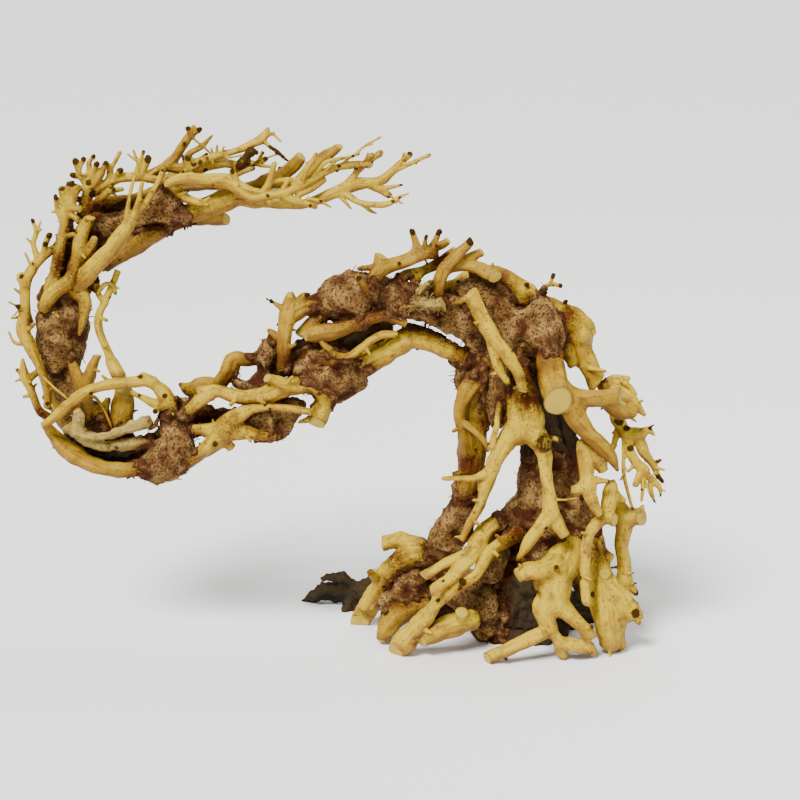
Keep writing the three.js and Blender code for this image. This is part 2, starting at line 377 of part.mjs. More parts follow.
// The putty that beds the wood. It is pressed round the limbs, so each lump is cut back from all of them.
const PUTTY = [
  ["putty_collar", [
    [[14, 58, 16, 21], [18, 76, 12, 27], [19, 96, 10, 26], [18, 114, 11, 22]],
    [[4, 88, 4, 16], [-10, 84, -2, 11], [-20, 70, -4, 10], [-24, 50, -4, 10]],
  ]],
  ["putty_leg", [
    [[-43, 97, 8, 9.4], [-47, 84, 10, 11.4], [-54, 71, 12, 12.4], [-58, 60, 16, 10], [-56, 44, 22, 12],
      [-40, 34, 8, 14], [-30, 26, -2, 13], [-27, 10, 0, 11]],
    [[-56, 46, 20, 13], [-74, 40, 14, 11.5], [-86, 31, 8, 9.5], [-97, 26, 2, 4.5]],
  ]],
  ["putty_crown", [
    [[-24, 236, -2, 7], [-12, 222, -4, 9.5], [0, 217, -8, 14], [11, 214, -10, 14.5], [14, 202, -8, 9]],
    [[-2, 215, -6, 12], [-9, 204, -5, 11], [-14, 190, -5, 11], [-17, 174, -5, 10], [-18, 161, -4, 7.5],
      [-19, 153, -3, 4.5]],
    [[6, 222, -10, 10], [11, 229, -12, 8.4], [12, 233, -11, 6]],
    [[-18, 232, -2, 9], [-28, 240, -2, 9.5], [-38, 244, -1, 8.5], [-46, 243, 0, 5]],
  ]],
  ["putty_arm", [
    [[-140, 231, -8, 7], [-128, 239, -9, 15], [-113, 242, -9, 16.4], [-98, 240, -8, 13], [-80, 237, -7, 12],
      [-62, 231, -7, 12.4], [-46, 226, -7, 13.4], [-37, 216, -6, 9], [-37, 204, -4, 6.5],
      [-41, 194, 0, 6.5], [-43, 184, 2, 6], [-43, 176, 3, 4]],
  ]],
  ["putty_mid", [
    [[-163, 187, -12, 5], [-151, 191, -12, 11], [-138, 187, -13, 15], [-126, 182, -12, 11.4], [-117, 182, -11, 6]],
    [[-140, 180, -13, 11], [-133, 173, -13, 6]],
  ]],
  ["putty_joint", [
    [[-179, 206, -12, 4.4], [-181, 199, -12, 7.4], [-180, 190, -12, 7], [-183, 179, -12, 7], [-184, 166, -13, 9],
      [-181, 154, -14, 13], [-170, 155, -14, 11], [-160, 163, -13, 6.4]],
    [[-182, 180, -12, 6], [-192, 178, -12, 5.6], [-202, 180, -12, 3.4]],
    [[-183, 154, -14, 12.4], [-195, 151, -14, 7]],
  ]],
  ["putty_bend", [
    [[-262, 126, -16, 7], [-252, 128, -18, 12.4], [-242, 138, -18, 11.6], [-246, 151, -17, 9.6],
      [-241, 163, -15, 5.4]],
    [[-244, 156, -15, 7], [-233, 160, -12, 6.4], [-221, 159, -10, 4.6]],
    [[-268, 115, -14, 4], [-256, 116, -15, 6], [-246, 121, -16, 6.6], [-236, 130, -17, 5.4]],
  ]],
  ["putty_spine", [
    [[-310, 255, 2, 10], [-319, 240, 1, 13.4], [-324, 224, 0, 17.2], [-324, 207, 0, 15.4], [-326, 192, -2, 11.4],
      [-320, 178, -3, 9], [-311, 163, -4, 8]],
  ]],
  ["putty_top", [
    [[-308, 266, 4, 11], [-305, 279, 4, 14.4], [-293, 288, 4, 11], [-279, 294, 3, 6.4], [-264, 297, 0, 6],
      [-252, 301, -3, 9.4], [-243, 298, -4, 7]],
    [[-254, 304, -3, 8], [-249, 312, -4, 4.6]],
  ]],
];

// The eye of the front drawing, and its axes.
const forward = new THREE.Vector3(0, Math.cos(VIEW_TILT), -Math.sin(VIEW_TILT));
const upward = new THREE.Vector3(0, Math.sin(VIEW_TILT), Math.cos(VIEW_TILT));
const sideways = new THREE.Vector3(1, 0, 0);
const eye = viewEye();

// The eye's place follows from the origin showing at 0 across and 0 up.
function viewEye() {
  const ray = forward
    .clone()
    .multiplyScalar(VIEW_DISTANCE)
    .addScaledVector(sideways, -VIEW_CENTRE.across)
    .addScaledVector(upward, -VIEW_CENTRE.up);
  // The drawing's own plane stands upright through the origin at its centre's height.
  const centreHeight = VIEW_CENTRE.up / (Math.cos(VIEW_TILT) - (VIEW_CENTRE.up * Math.sin(VIEW_TILT)) / VIEW_DISTANCE);
  const stretch = 1 + (centreHeight * Math.sin(VIEW_TILT)) / VIEW_DISTANCE;
  return ray.multiplyScalar(-stretch);
}

// A station's place in space: where its line of sight reaches its depth.
function place([across, up, back]) {
  const ray = forward
    .clone()
    .multiplyScalar(VIEW_DISTANCE)
    .addScaledVector(sideways, across - VIEW_CENTRE.across)
    .addScaledVector(upward, up - VIEW_CENTRE.up);
  return eye.clone().addScaledVector(ray, (back - eye.y) / ray.y);
}

// A closed three.js geometry as a solid.
function solidFrom(geometry) {
  const bare = geometry.clone();
  bare.deleteAttribute("normal");
  bare.deleteAttribute("uv");
  const merged = mergeVertices(bare, WELD_DISTANCE);
  return new wasm.Manifold(
    new wasm.Mesh({
      numProp: 3,
      vertProperties: merged.attributes.position.array,
      triVerts: new Uint32Array(merged.index.array),
    }),
  );
}

// The stations that shape a limb, without those that lie on the line between their neighbours.
function shaping(stations) {
  const [first, last] = [stations[0], stations.at(-1)];
  const strays = stations.map((station, i) => {
    const share = i / (stations.length - 1);
    const from = place(first).lerp(place(last), nearestShare(station, first, last));
    const line = THREE.MathUtils.lerp(first[3], last[3], share);
    return i === 0 || station === last ? 0 : Math.hypot(from.distanceTo(place(station)), station[3] - line);
  });
  const worst = strays.indexOf(Math.max(...strays));
  if (strays[worst] <= STRAY_ALLOWED * Math.max(...stations.map((station) => station[3]))) return [first, last];
  return [...shaping(stations.slice(0, worst + 1)), ...shaping(stations.slice(worst)).slice(1)];
}

// How far along the line from first to last a station lies.
function nearestShare(station, first, last) {
  const line = place(last).sub(place(first));
  return THREE.MathUtils.clamp(place(station).sub(place(first)).dot(line) / line.lengthSq(), 0, 1);
}

// One limb: a cylinder whose rings are moved onto the stations, with a frame carried along without twist.
function limb(traced, sides, grow) {
  const stations = shaping(traced);
  const centres = stations.map(place);
  // The faceted section has the area of the round one.
  const fullness = Math.sqrt((2 * Math.PI) / (sides * Math.sin((2 * Math.PI) / sides)));
  const radii = stations.map((station) => station[3] * fullness + grow);
  const last = stations.length - 1;
  const along = centres.map((_, i) =>
    centres[Math.min(i + 1, last)].clone().sub(centres[Math.max(i - 1, 0)]).normalize(),
  );
  centres[0].addScaledVector(along[0], -grow);
  centres[last].addScaledVector(along[last], grow);
  const normal = new THREE.Vector3(0, 1, 0).cross(along[0]).normalize();
  const frames = along.map((axis, i) => {
    if (i > 0) normal.applyQuaternion(new THREE.Quaternion().setFromUnitVectors(along[i - 1], axis));
    return { normal: normal.clone(), side: normal.clone().cross(axis) };
  });
  const geometry = new THREE.CylinderGeometry(1, 1, last, sides, last);
  const position = geometry.attributes.position;
  for (let i = 0; i < position.count; i++) {
    const ring = Math.round(position.getY(i) + last / 2);
    const point = centres[ring]
      .clone()
      .addScaledVector(frames[ring].normal, position.getX(i) * radii[ring])
      .addScaledVector(frames[ring].side, position.getZ(i) * radii[ring]);
    position.setXYZ(i, point.x, point.y, point.z);
  }
  return solidFrom(geometry);
}

// All the limbs of a piece as one solid, standing on the ground.
function joined(limbs, sidesOf, grow = 0) {
  const ground = new THREE.BoxGeometry(GROUND_SLAB.side, GROUND_SLAB.side, GROUND_SLAB.depth);
  ground.translate(0, 0, -GROUND_SLAB.depth / 2 + grow);
  return limbs
    .map((stations) => limb(stations, sidesOf(stations), grow))
    .reduce((whole, next) => whole.add(next))
    .subtract(solidFrom(ground));
}

const woodSides = (stations) => {
  const thickest = Math.max(...stations.map((station) => station[3]));
  if (thickest < THIN_LIMB) return SECTION_SIDES.twig;
  return thickest < THICK_LIMB ? SECTION_SIDES.thin : SECTION_SIDES.thick;
};
const puttySides = () => SECTION_SIDES.putty;

// A piece cut back from its neighbours, without the crumbs that the cut leaves.
function cutBack(solid, neighbours) {
  const cut = neighbours.reduce((rest, neighbour) => rest.subtract(neighbour), solid);
  return cut.decompose().reduce((most, part) => (part.volume() > most.volume() ? part : most));
}

function meshOf(name, finish, solid) {
  const data = solid.getMesh();
  const geometry = new THREE.BufferGeometry();
  geometry.setAttribute("position", new THREE.BufferAttribute(data.vertProperties, 3));
  geometry.setIndex(new THREE.BufferAttribute(data.triVerts, 1));
  geometry.computeVertexNormals();
  const mesh = new THREE.Mesh(geometry, new THREE.MeshStandardMaterial(FINISH[finish]));
  mesh.name = name;
  return mesh;
}

const driftwood = new THREE.Group();
const clearances = [];
for (const [name, finish, limbs] of PIECES) {
  driftwood.add(meshOf(name, finish, cutBack(joined(limbs, woodSides), clearances)));
  clearances.push(joined(limbs, woodSides, JOINT_GAP));
}
for (const [name, limbs] of PUTTY) {
  driftwood.add(meshOf(name, "putty", cutBack(joined(limbs, puttySides), clearances)));
  clearances.push(joined(limbs, puttySides, JOINT_GAP));
}

export default driftwood;
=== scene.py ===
"""A driftwood sculpture: pale root wood pieced together with brown wood putty on a dark stump.

Lengths in the tables are millimetres, and what goes into Blender is metres.
"""

import copy
import math

import bpy
import numpy as np
import openvdb
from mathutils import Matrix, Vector


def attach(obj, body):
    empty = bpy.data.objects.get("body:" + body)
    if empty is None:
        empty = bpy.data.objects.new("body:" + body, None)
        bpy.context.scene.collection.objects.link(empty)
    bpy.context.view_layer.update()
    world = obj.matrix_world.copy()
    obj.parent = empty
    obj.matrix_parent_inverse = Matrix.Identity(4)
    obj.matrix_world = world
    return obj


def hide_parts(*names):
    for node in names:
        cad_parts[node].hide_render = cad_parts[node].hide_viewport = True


bl_info = {
    "name": "Bonsai Driftwood",
    "version": (1, 0, 0),
    "blender": (4, 5, 0),
    "location": "View3D > Sidebar > Driftwood",
    "description": "Dresses a driftwood sculpture in root wood, putty, crumbs and moss",
    "category": "Object",
}

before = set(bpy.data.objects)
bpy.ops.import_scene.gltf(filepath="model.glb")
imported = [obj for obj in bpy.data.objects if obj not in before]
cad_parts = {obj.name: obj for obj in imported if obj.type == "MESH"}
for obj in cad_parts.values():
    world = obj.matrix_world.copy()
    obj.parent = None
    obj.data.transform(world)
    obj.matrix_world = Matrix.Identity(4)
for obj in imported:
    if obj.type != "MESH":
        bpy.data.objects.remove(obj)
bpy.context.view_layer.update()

MM = 0.001
VIEW_TILT = math.radians(14)  # how far the drawing's view looks down
VIEW_DISTANCE = 1500.0  # from the eye to the drawing
VIEW_ACROSS, VIEW_UP = -87.5, 168.0  # where the view's axis meets the drawing
VIEW_WIDTH = 560.0  # how much of the drawing the picture takes in
FLOOR_REACH = 14.0  # metres from the middle of the floor to its edge

# The limbs.
SPINE_STEP = 2.2  # between two points of a limb's middle line
SWAY_LENGTH, SWELL_LENGTH = 30.0, 19.0  # along a limb, from one sway or swelling to the next
SWAY_FADE = 8.0  # near an end, where a limb stops swaying
THINNEST = 0.85  # a twig's least radius
SLENDER = 0.86  # the thinnest twigs' share of the radius of the solid that they stand for
FULL_FROM = 8.0  # and the radius from which a limb is as thick as its solid
SAWN_FROM = 2.3  # an end with a radius over this is sawn or snapped flat
CROWDED = 0.2  # an end with another limb nearer than this share of its radius isn't cut
TWIG_SHARE = 0.65  # a limb thinner than this share of the end's radius doesn't crowd it
END_LEAN = 0.45  # how much an end face leans at most
FACED = 0.3  # how much the sawn ends turn to the eye
KNOTTED_FROM = 2.2  # a thinner limb has no knots
BARE_END = 3.0  # how far a limb's last knot is from its end
FIRST_KNOT, NEXT_KNOT = (0.2, 1.2), (0.1, 1.8)  # how far on the first and the next knots are, in mean gaps
KNOT_WIDTH = (0.7, 1.5)  # a knot's radius
KNOT_RISE = (-0.8, 0.7)  # how far it stands out, as a share of its radius
THORN_LENGTH = (1.5, 4.5)  # how far a thorn stands out
THORNY = 0.3  # how many of the knots are thorns
SWOLLEN = 0.45  # how many of the twigs' tips are swollen and dark

# The surfaces.
BAND = 7.0  # how far from the surface the distance field is kept
BLOCK = 4000  # how many points are worked on at a time
TWIGGY = 2.6  # a piece with a limb thinner than this has the fine mesh
GROUNDED = 0.05  # what is lower than this stands on the ground
ROUGH_FINISH = {"pale": 1.0, "ochre": 1.0, "grey": 2.2, "dark": 4.5}  # how rugged each finish of wood is
FLUTE_DEPTH, FLUTE_TURN = 0.095, 19.0  # two swells round a limb: share of its radius, and mm for a radian
GROOVE_DEPTH, GROOVE_TURN = 0.15, 33.0  # and three grooves
FLUTED_TO = 11.0  # a limb with a greater radius has no deeper flutes
PUTTY_RIDGES = ((24, 2.3), (10, 1.0))  # how far apart, and how high
PUTTY_GRIT = (3, 0.25)  # and the same of the grit on them
HOLLOW_DEPTH = 0.6  # the depth of a hollow in the putty, as a share of its radius
SMEAR = 0.7  # how thick putty is smeared over the wood
SMEAR_REACH = 5.5  # and how far from its lumps
SMEAR_EDGE = ((2.2, 12), (1.3, 5))  # how ragged its edge is, in tongues and small teeth: length and width

# The patterns, and what lies on the surfaces.
APART = 173.0  # how far the grain's pattern is shifted from one limb to the next
CLEAR_FROM = 3.0  # a point this much nearer to one limb than to any other is clear of the others
CUT_EDGE = 0.5  # how wide the soft edge of a saw cut's pattern is
SPOT_END, SPOT_FADE = 1.9, 1.1  # where a dark spot ends, and how wide its soft edge is, in its radii
CHAR_DARK = 1.2  # how dark a charred spot is: over 1, so that its whole middle is black
SOIL_REACH = 14.0  # how far the putty's glue stains the wood
WOOD_CREVICE_SHADE, PUTTY_CREVICE_SHADE = 5.0, 6.0  # how far the wood beside it paints shade on a piece of wood, and on putty
STAIN_FROM = 24.0  # a lump or limb further from a piece than this stains or shades nothing on it
MOSSY = ("weathered_limb",)  # pieces with dry moss

# Every limb is a list of stations: across, up and back, then the radius. Across and up are measured on a
# front drawing of the whole piece, and back is the depth behind the origin.
PIECES = [
  # The dark stump and the trunk on it.
  ["base_stump", "dark", [
    [[-4, -6, 18, 31], [-2, 14, 18, 32], [2, 40, 17, 29], [12, 70, 15, 20]],
    [[-22, 22, 26, 19], [-58, 27, 42, 16], [-92, 34, 56, 10], [-120, 34.5, 70, 7.5], [-140, 33, 78, 6.5],
      [-151, 28.5, 83, 4.5], [-161, 21, 84, 1]],
    [[-114, 39, 66, 4], [-129, 43, 68, 3], [-143, 43, 70, 2.2]],
    [[-119, 30, 68, 6], [-125, 20, 64, 5], [-132, 14, 61, 2.6]],
    [[16, 18, 30, 19], [42, 19, 46, 13], [66, 20, 64, 8], [80, 21, 76, 4.5]],
    [[14, 62, 15, 18], [17, 80, 14, 17], [18, 104, 13, 18.5], [18, 130, 11, 18.5], [14, 156, 9, 16],
      [6, 184, 7, 13], [0, 207, 5, 9]],
    [[0, 188, 3, 8], [-13, 181, 0, 6.5], [-20, 164, 0, 4]],
  ]],
  # Roots that stand on the ground, from the left round to the right.
  ["foot_left", "pale", [
    [[-50, 61, 13, 7.5], [-66, 60, 14, 8.5], [-80, 59, 16, 8.6], [-92, 50, 18, 8], [-101, 38, 22, 7.5],
      [-109, 25, 26, 7.8], [-117, 10, 31, 6.5]],
    [[-74, 65, 18, 7.5], [-87, 69.5, 24, 6.6], [-99.5, 67.5, 28, 5.8]],
    [[-102, 43, 20, 5.5], [-107, 47, 15, 3.6]],
  ]],
  ["foot_left_small", "ochre", [
    [[-66, 27, 4, 6.5], [-80, 23, -1, 7], [-92, 15.5, -7, 8.2], [-98, 6, -10, 6], [-101, -1, -10, 2.6]],
    [[-88, 17, -8, 6], [-94, 5, -13, 2.6]],
  ]],
  ["root_front_left", "pale", [
    [[-3, 75, -16, 4.5], [-15, 69, -22, 4.7], [-24, 62, -27, 4.4], [-30, 53, -31, 4.3],
      [-35, 45, -34, 4.4], [-44, 39.5, -36, 4.2], [-54, 32, -38, 4], [-62, 25, -39, 4.4],
      [-71, 13, -37, 6.4], [-83, 0, -33, 7.6], [-92, -8, -30, 5.4]],
    [[-33, 64, -26, 5], [-45, 59, -31, 4.2], [-58, 52, -35, 4], [-71, 44.5, -37, 3.8]],
    [[-36, 61, -29, 5.4], [-44, 52, -35, 4.8], [-52, 43.5, -39, 4.6], [-59, 38.5, -41, 4.2],
      [-66, 33.5, -41, 3.2]],
    [[-57, 40, -40, 4], [-61, 31, -41, 3.8], [-65, 21, -39, 4.6]],
    [[-19, 83, -14, 6], [-28, 75, -19, 6], [-35, 64, -26, 6]],
  ]],
  ["foot_stub", "pale", [
    [[-38, 14, -27, 7], [-51, 11, -31, 8], [-63, 5, -34, 7], [-73, -1, -37, 5]],
    [[-44, 14, -30, 6.5], [-44.5, 19.5, -37, 4.8]],
  ]],
  ["webbed_root", "pale", [
    [[34, 72, -15, 6], [31, 58, -24, 8], [26, 46, -31, 8.5], [24, 36, -36, 7.5], [26, 24, -40, 7],
      [34, 15, -42, 6], [42, 8, -42, 5.4], [46, 0, -40, 5.2]],
    [[29, 68, -19, 6], [20, 57, -28, 7.5], [14, 44, -35, 7.5], [15, 32, -39, 6.5], [13, 21, -42, 6.5],
      [17, 9, -43, 6]],
    [[22, 45, -33, 8], [20, 24, -41, 8]],
    [[20, 52, -33, 8.4], [10, 49.5, -39, 7], [1, 47.5, -43, 6.4], [-5.5, 45, -45, 5]],
    [[14, 16, -42, 6], [18, 7, -43, 5], [24, -1, -42, 4.5], [26, -10.5, -39, 4.4]],
    [[24, -2, -42, 4.4], [35, -3.5, -41, 5], [44, -5, -38, 5], [49, -10, -35, 2.8]],
    [[16, 7, -43, 5], [4, 1, -46, 5], [-8, -5, -48, 4.8], [-20, -10, -48, 4.7], [-27, -13, -47, 4.8]],
  ]],
  ["root_right", "pale", [
    [[50, 76, -2, 5], [50, 62, -9, 7], [51, 50, -14, 8.6], [52, 38, -18, 9.4], [54, 26, -24, 10],
      [57, 13, -29, 9.4], [59, 0, -28, 7.5], [57, -4.5, -24, 6]],
    [[53, 51, -14, 6.4], [56, 46.5, -25, 4.4]],
    [[54, 44, -16, 7], [64, 34, -22, 6], [75, 22, -25, 5]],
    [[58, 34, -21, 7], [66, 18, -26, 7], [64, 4, -24, 5.5]],
    [[54, 60, -9, 5], [61, 57, -13, 3.6]],
    [[58, 24, -25, 8], [68, 20, -25, 6.8], [78, 18, -25, 5]],
    [[61, 9, -27, 7], [66, -4.5, -21, 5.4]],
  ]],
  ["outer_root_right", "pale", [
    [[62, 97, 0, 4.6], [68, 88, -2, 6.4], [69, 77, -4, 6], [68, 64, -4, 5.5], [70, 50, -4, 5.8],
      [69, 38, -5, 6], [69, 31, -6, 5]],
    [[69, 86, -3, 6.4], [82, 86, -5, 6.4]],
  ]],
  # The left leg and the limbs that hang down the front of the trunk.
  ["leg_left", "ochre", [
    [[-31, 215, 0, 5], [-29, 200, -2, 6.6], [-31, 184, -2, 7.2], [-34, 165, 0, 8], [-36, 145, 2, 9],
      [-37, 125, 4, 9.6], [-40, 108, 6, 9.6], [-43, 95, 8, 8.6]],
    [[-32, 184, -7, 6], [-40, 175, -10, 6], [-45, 165, -11, 4.8], [-46, 155, -10, 4.2],
      [-43, 144, -6, 4.8], [-40, 132, -2, 6]],
    [[-42, 151, -11, 3], [-34, 145, -16, 2.3], [-27.5, 138, -18, 2.4], [-26, 133, -18, 1.6]],
  ]],
  ["front_fork", "pale", [
    [[-8, 178, -15, 5], [-6, 166, -17, 7], [-4, 154, -19, 9.4], [-4, 146, -20, 8.8]],
    [[-1, 192, -14, 4], [2, 179, -16, 5], [5, 166, -18, 6], [6, 153, -19, 8]],
    [[-5, 149, -20, 8], [-14, 138, -22, 6.6], [-21, 125, -25, 5.6], [-26, 112, -26, 5.6],
      [-29, 100, -26, 4.5], [-34, 89, -25, 3.6], [-40, 79, -23, 3.2], [-44, 70, -21, 3.2]],
    [[0, 149, -20, 8], [8, 142, -21, 7.6], [13, 130, -23, 6.2], [15, 115, -27, 5], [17, 100, -31, 5],
      [18.5, 87, -35, 6]],
    [[18, 88, -35, 5.4], [11, 79, -38, 4.8], [3, 68, -39, 4.2], [-4.5, 57, -39, 2]],
    [[19, 88, -35, 5.2], [24, 79, -37, 4.6], [28.5, 72.5, -37, 4.2]],
    [[8, 141, -23, 6.4], [15, 137, -31, 5.6]],
    [[-24, 118, -26, 4], [-36, 113, -31, 3], [-47, 113, -32, 2.4], [-57, 113, -32, 2]],
    [[-18, 165, -17, 2.4], [-19.5, 156, -22, 2.6], [-20.5, 147, -25, 2.8], [-24, 133, -26, 3]],
  ]],
  ["front_strand", "pale", [
    [[-38, 243, -19, 5.5], [-34, 232, -22, 6], [-28, 221, -26, 5.6], [-20, 209, -30, 4.8],
      [-11.5, 198, -32, 4.5], [-4.5, 187, -32, 4.2], [-1.5, 174, -31, 3.6]],
    [[-24, 213, -28, 4], [-21.5, 200, -29, 3.5], [-18, 189, -30, 3.1], [-12, 180, -31, 2.4]],
  ]],
  ["sawn_fork", "ochre", [
    [[16, 208, -17, 7], [18, 194, -19, 8.6], [20, 182, -23, 10], [23, 167, -38, 10.4]],
    [[27, 174, -26, 7.4], [40, 169, -27, 6.4], [53, 169, -25, 6.2], [67, 170, -22, 6.4]],
    [[56, 168, -24, 6], [67, 161, -21, 6], [77, 159.5, -18, 4.4]],
    [[29, 170, -26, 8], [36, 156, -27, 7.6], [43, 146, -28, 6.6], [52, 138, -29, 6], [60, 129, -29, 4.8],
      [64.5, 119, -28, 1.4]],
  ]],
  ["drip_upper", "pale", [
    [[39, 140, -22, 3.4], [42, 129, -25, 5.6], [43, 116, -28, 5.2], [44.5, 106, -30, 6],
      [48, 96, -31, 4.6], [53, 87, -32, 2.6]],
    [[42, 107, -30, 5], [33, 105, -31, 3]],
    [[45, 134, -24, 4.6], [51, 126, -23, 6], [55, 118, -23, 4]],
  ]],
  ["drip_lower", "pale", [
    [[61, 108, -14, 4.6], [59, 98, -18, 6.4], [56, 88, -22, 5.6], [47, 78, -30, 4.4], [42.5, 66, -35, 4],
      [42, 52, -40, 3.6], [42, 38, -44, 3.4], [43, 24.5, -48, 3.4]],
    [[55, 87, -23, 5], [63, 84, -28, 4.6]],
    [[60, 103, -16, 5], [69, 98, -14, 2.6]],
  ]],
  ["twigs_right", "pale", [
    [[51, 178, 14, 4], [60, 177, 8, 4.8], [69, 171, 3, 5], [76, 166, 0, 4.4], [83.5, 158, -2, 1.6]],
    [[62, 180, 7, 2.6], [71, 179, 4, 2.6], [77, 172, 2, 1.8]],
    [[62, 175, 7, 4.8], [63, 162, 3, 4.8], [67, 150, 0, 4.8], [72, 144, -2, 5]],
    [[70, 145, -2, 4.6], [80, 144, -4, 4.6], [86, 147, -5, 3], [90.5, 143.5, -6, 1]],
    [[72, 144, -3, 4.6], [73, 133, -5, 4], [78, 124, -8, 4], [84, 119, -9, 3.6]],
    [[79, 143, -4, 4], [83, 132, -4, 4.2], [90, 122, -3, 2.8], [93, 115, -3, 2.2], [96.5, 111, -3, 1.4]],
    [[82, 120, -9, 3.2], [90, 111, -8, 2.8], [94, 107, -8, 2.4], [95, 100.5, -8, 1]],
    [[81, 120, -9, 2.6], [82.5, 108, -11, 1.9], [81.5, 97.5, -12, 1.2]],
    [[69.5, 140, -4, 2.4], [69, 118, -7, 1.6], [72, 104, -8, 1.5], [75, 92.5, -8, 1.2]],
  ]],
  # The crown, and the top of the arm.
  ["top_limb", "pale", [
    [[-33, 257, 7, 6], [-20, 252, 4, 9.4], [-8, 245, 3, 9.6], [5, 237, 3, 9], [18, 230, 4, 8.6],
      [30, 225, 5, 9.6], [38, 216, 6, 10], [39.5, 203, 7, 7.8], [45, 191, 8, 7.6], [51, 179, 9, 7.8]],
    [[38, 219, 6, 8], [47, 215, 4, 1.8]],
    [[22, 218, 2, 6], [28, 204, 2, 4.4], [34, 191, 2, 3.4]],
    [[9, 238, 0, 2.8], [12, 245, -3, 1.8], [18, 249, -5, 1.8], [25, 248, -6, 1.7]],
  ]],
  ["fork_top", "ochre", [
    [[-61, 238, -17, 4.4], [-60, 248, -18, 4.5], [-57, 258, -17, 5], [-50, 267, -16, 4.6],
      [-43, 274, -15, 3.8], [-37, 280, -14, 3.4]],
    [[-56, 260, -16, 5], [-45, 262, -12, 4.2], [-35, 260.5, -12, 5], [-27, 257, -13, 6],
      [-20, 254, -17, 4.4]],
    [[-46, 263, -12, 3.5], [-38, 268, -10, 3.5], [-30, 272, -8, 3.2]],
  ]],
  ["antler_top", "ochre", [
    [[-108, 241, -25, 3], [-106, 250, -24, 4], [-101, 259, -20, 5.5], [-92, 263, -15, 4.8],
      [-82, 266, -12, 5], [-72, 271, -10, 5.4], [-64, 270, -9, 4.4]],
    [[-75, 272, -10, 4], [-77, 280, -9, 2.6], [-79, 286, -9, 2.4]],
    [[-66, 272, -9, 4], [-63, 279, -7, 2.6], [-60, 286, -6, 2.3]],
    [[-102, 261, -19, 5], [-100.5, 269, -19, 4.2]],
  ]],
  ["limb_behind_top", "pale", [
    [[-104, 237, -22, 2], [-93, 249, -14, 3], [-84, 256, -8, 3.6], [-72, 258, -4, 4], [-60, 264, -1, 4.4],
      [-48, 273, 2, 3.6]],
    [[-77, 241, -15, 2.4], [-77, 250, -11, 2.8], [-73, 257, -6, 3.2]],
  ]],
  ["weathered_limb", "grey", [
    [[-98, 227, -18, 2.6], [-86, 233, -21, 5.4], [-74, 236, -23, 5.4], [-64, 235, -25, 5],
      [-56, 234.5, -27, 4.8]],
    [[-84, 236, -21, 3], [-74, 244, -22, 3], [-66, 250, -23, 2]],
  ]],
  ["band_under", "ochre", [
    [[-154, 213, -20, 4.2], [-144, 214.5, -21, 6.4], [-132, 217, -21, 5.8], [-120, 220.5, -21, 4.6],
      [-107, 225, -21, 4.2], [-97, 227, -20, 4], [-89, 224, -21, 3.2], [-83, 221, -22, 2.8]],
    [[-158, 213, -14, 3.6], [-150, 220, -14, 5], [-141, 228.5, -14, 4.2]],
  ]],
  ["arm_core", "dark", [
    [[-171, 193, -4, 8.4], [-155, 200, -4, 9], [-138, 205, -5, 9], [-120, 212, -5, 8.6],
      [-105, 218, -4, 8], [-93, 222, -3, 6]],
  ]],
  ["pale_antler", "pale", [
    [[-91, 214, -17, 2.6], [-102, 213, -18, 3.4], [-112, 206, -20, 3.4], [-122, 199, -22, 3.2],
      [-131, 198, -23, 3.8], [-137, 203, -24, 2.8], [-142, 208, -24, 2.2]],
  ]],
  ["arm_lower", "pale", [
    [[-127, 185, -10, 5.4], [-114, 193, -9, 7.8], [-100, 201, -8, 8.2], [-88, 208.5, -7, 8.4],
      [-78, 212, -6, 8.5], [-65, 208, -5, 7.4], [-52, 202, -4, 7], [-41, 196.5, -3, 6.6]],
  ]],
  ["antler_mid", "ochre", [
    [[-170, 188, -21, 3.4], [-169, 200, -22, 4.8], [-168, 215, -21, 5], [-166, 228, -19, 5.6],
      [-165, 237, -18, 4.3], [-164, 242, -18, 3.5]],
    [[-166, 226, -18, 6], [-156, 233, -15, 6.6], [-146, 236, -13, 5.6], [-139, 238, -12, 4.6]],
    [[-158, 236, -16, 4], [-155, 241, -18, 3], [-152, 242, -19, 1.8]],
    [[-168, 214, -20, 4.4], [-174, 212, -18, 4.4], [-178.5, 216, -17, 2.4]],
  ]],
  # The underside of the arm, from the middle to the bend.
  ["bridge_limb", "ochre", [
    [[-220, 173, -10, 4.4], [-213, 181, -12, 5.2], [-207, 190, -13, 6], [-203, 197, -13, 5.6],
      [-194, 196, -13, 4.3], [-186, 198, -12, 3.8]],
    [[-214, 178, -10, 4.4], [-224, 178, -8, 6.8], [-232, 175, -7, 6.6], [-241, 178.5, -6, 1.6]],
  ]],
  ["mid_limb", "pale", [
    [[-229, 174, -22, 3.8], [-215, 174, -23, 4.8], [-200, 170, -25, 5], [-188, 170, -26, 6],
      [-174, 175, -26, 6.4], [-160, 178, -25, 6], [-148, 177, -24, 5.6], [-140, 168, -24, 7],
      [-143.5, 158, -24, 7.5], [-146, 151.5, -25, 6.4]],
    [[-239, 157, -24, 3.6], [-231, 165, -25, 4.6], [-220, 172, -24, 4.6]],
    [[-145, 156, -25, 4], [-158, 152.5, -27, 1.4]],
    [[-168, 179, -29, 4.4], [-181, 183.5, -33, 3.4]],
  ]],
  ["lower_web", "pale", [
    [[-240, 121, -24, 4], [-229, 129, -25, 5], [-218, 138, -27, 6.6], [-210, 147, -28, 7.6],
      [-202, 156, -30, 6], [-192, 161.5, -33, 3.4], [-178, 163, -33, 2.6], [-164, 162, -32, 2.6],
      [-150, 159.5, -32, 2.8]],
    [[-233, 148, -24, 3.5], [-222, 147, -26, 4.6], [-210, 147, -28, 7]],
    [[-208, 146, -28, 7], [-196, 146, -29, 6], [-184, 143, -28, 4], [-174, 143, -27, 3]],
    [[-211, 140, -27, 4.4], [-205, 134, -26, 3.4]],
  ]],
  ["bend_core", "dark", [
    [[-318, 150, -2, 6.5], [-302, 138, -3, 8.5], [-282, 133, -4, 8.6], [-262, 135, -5, 7.6],
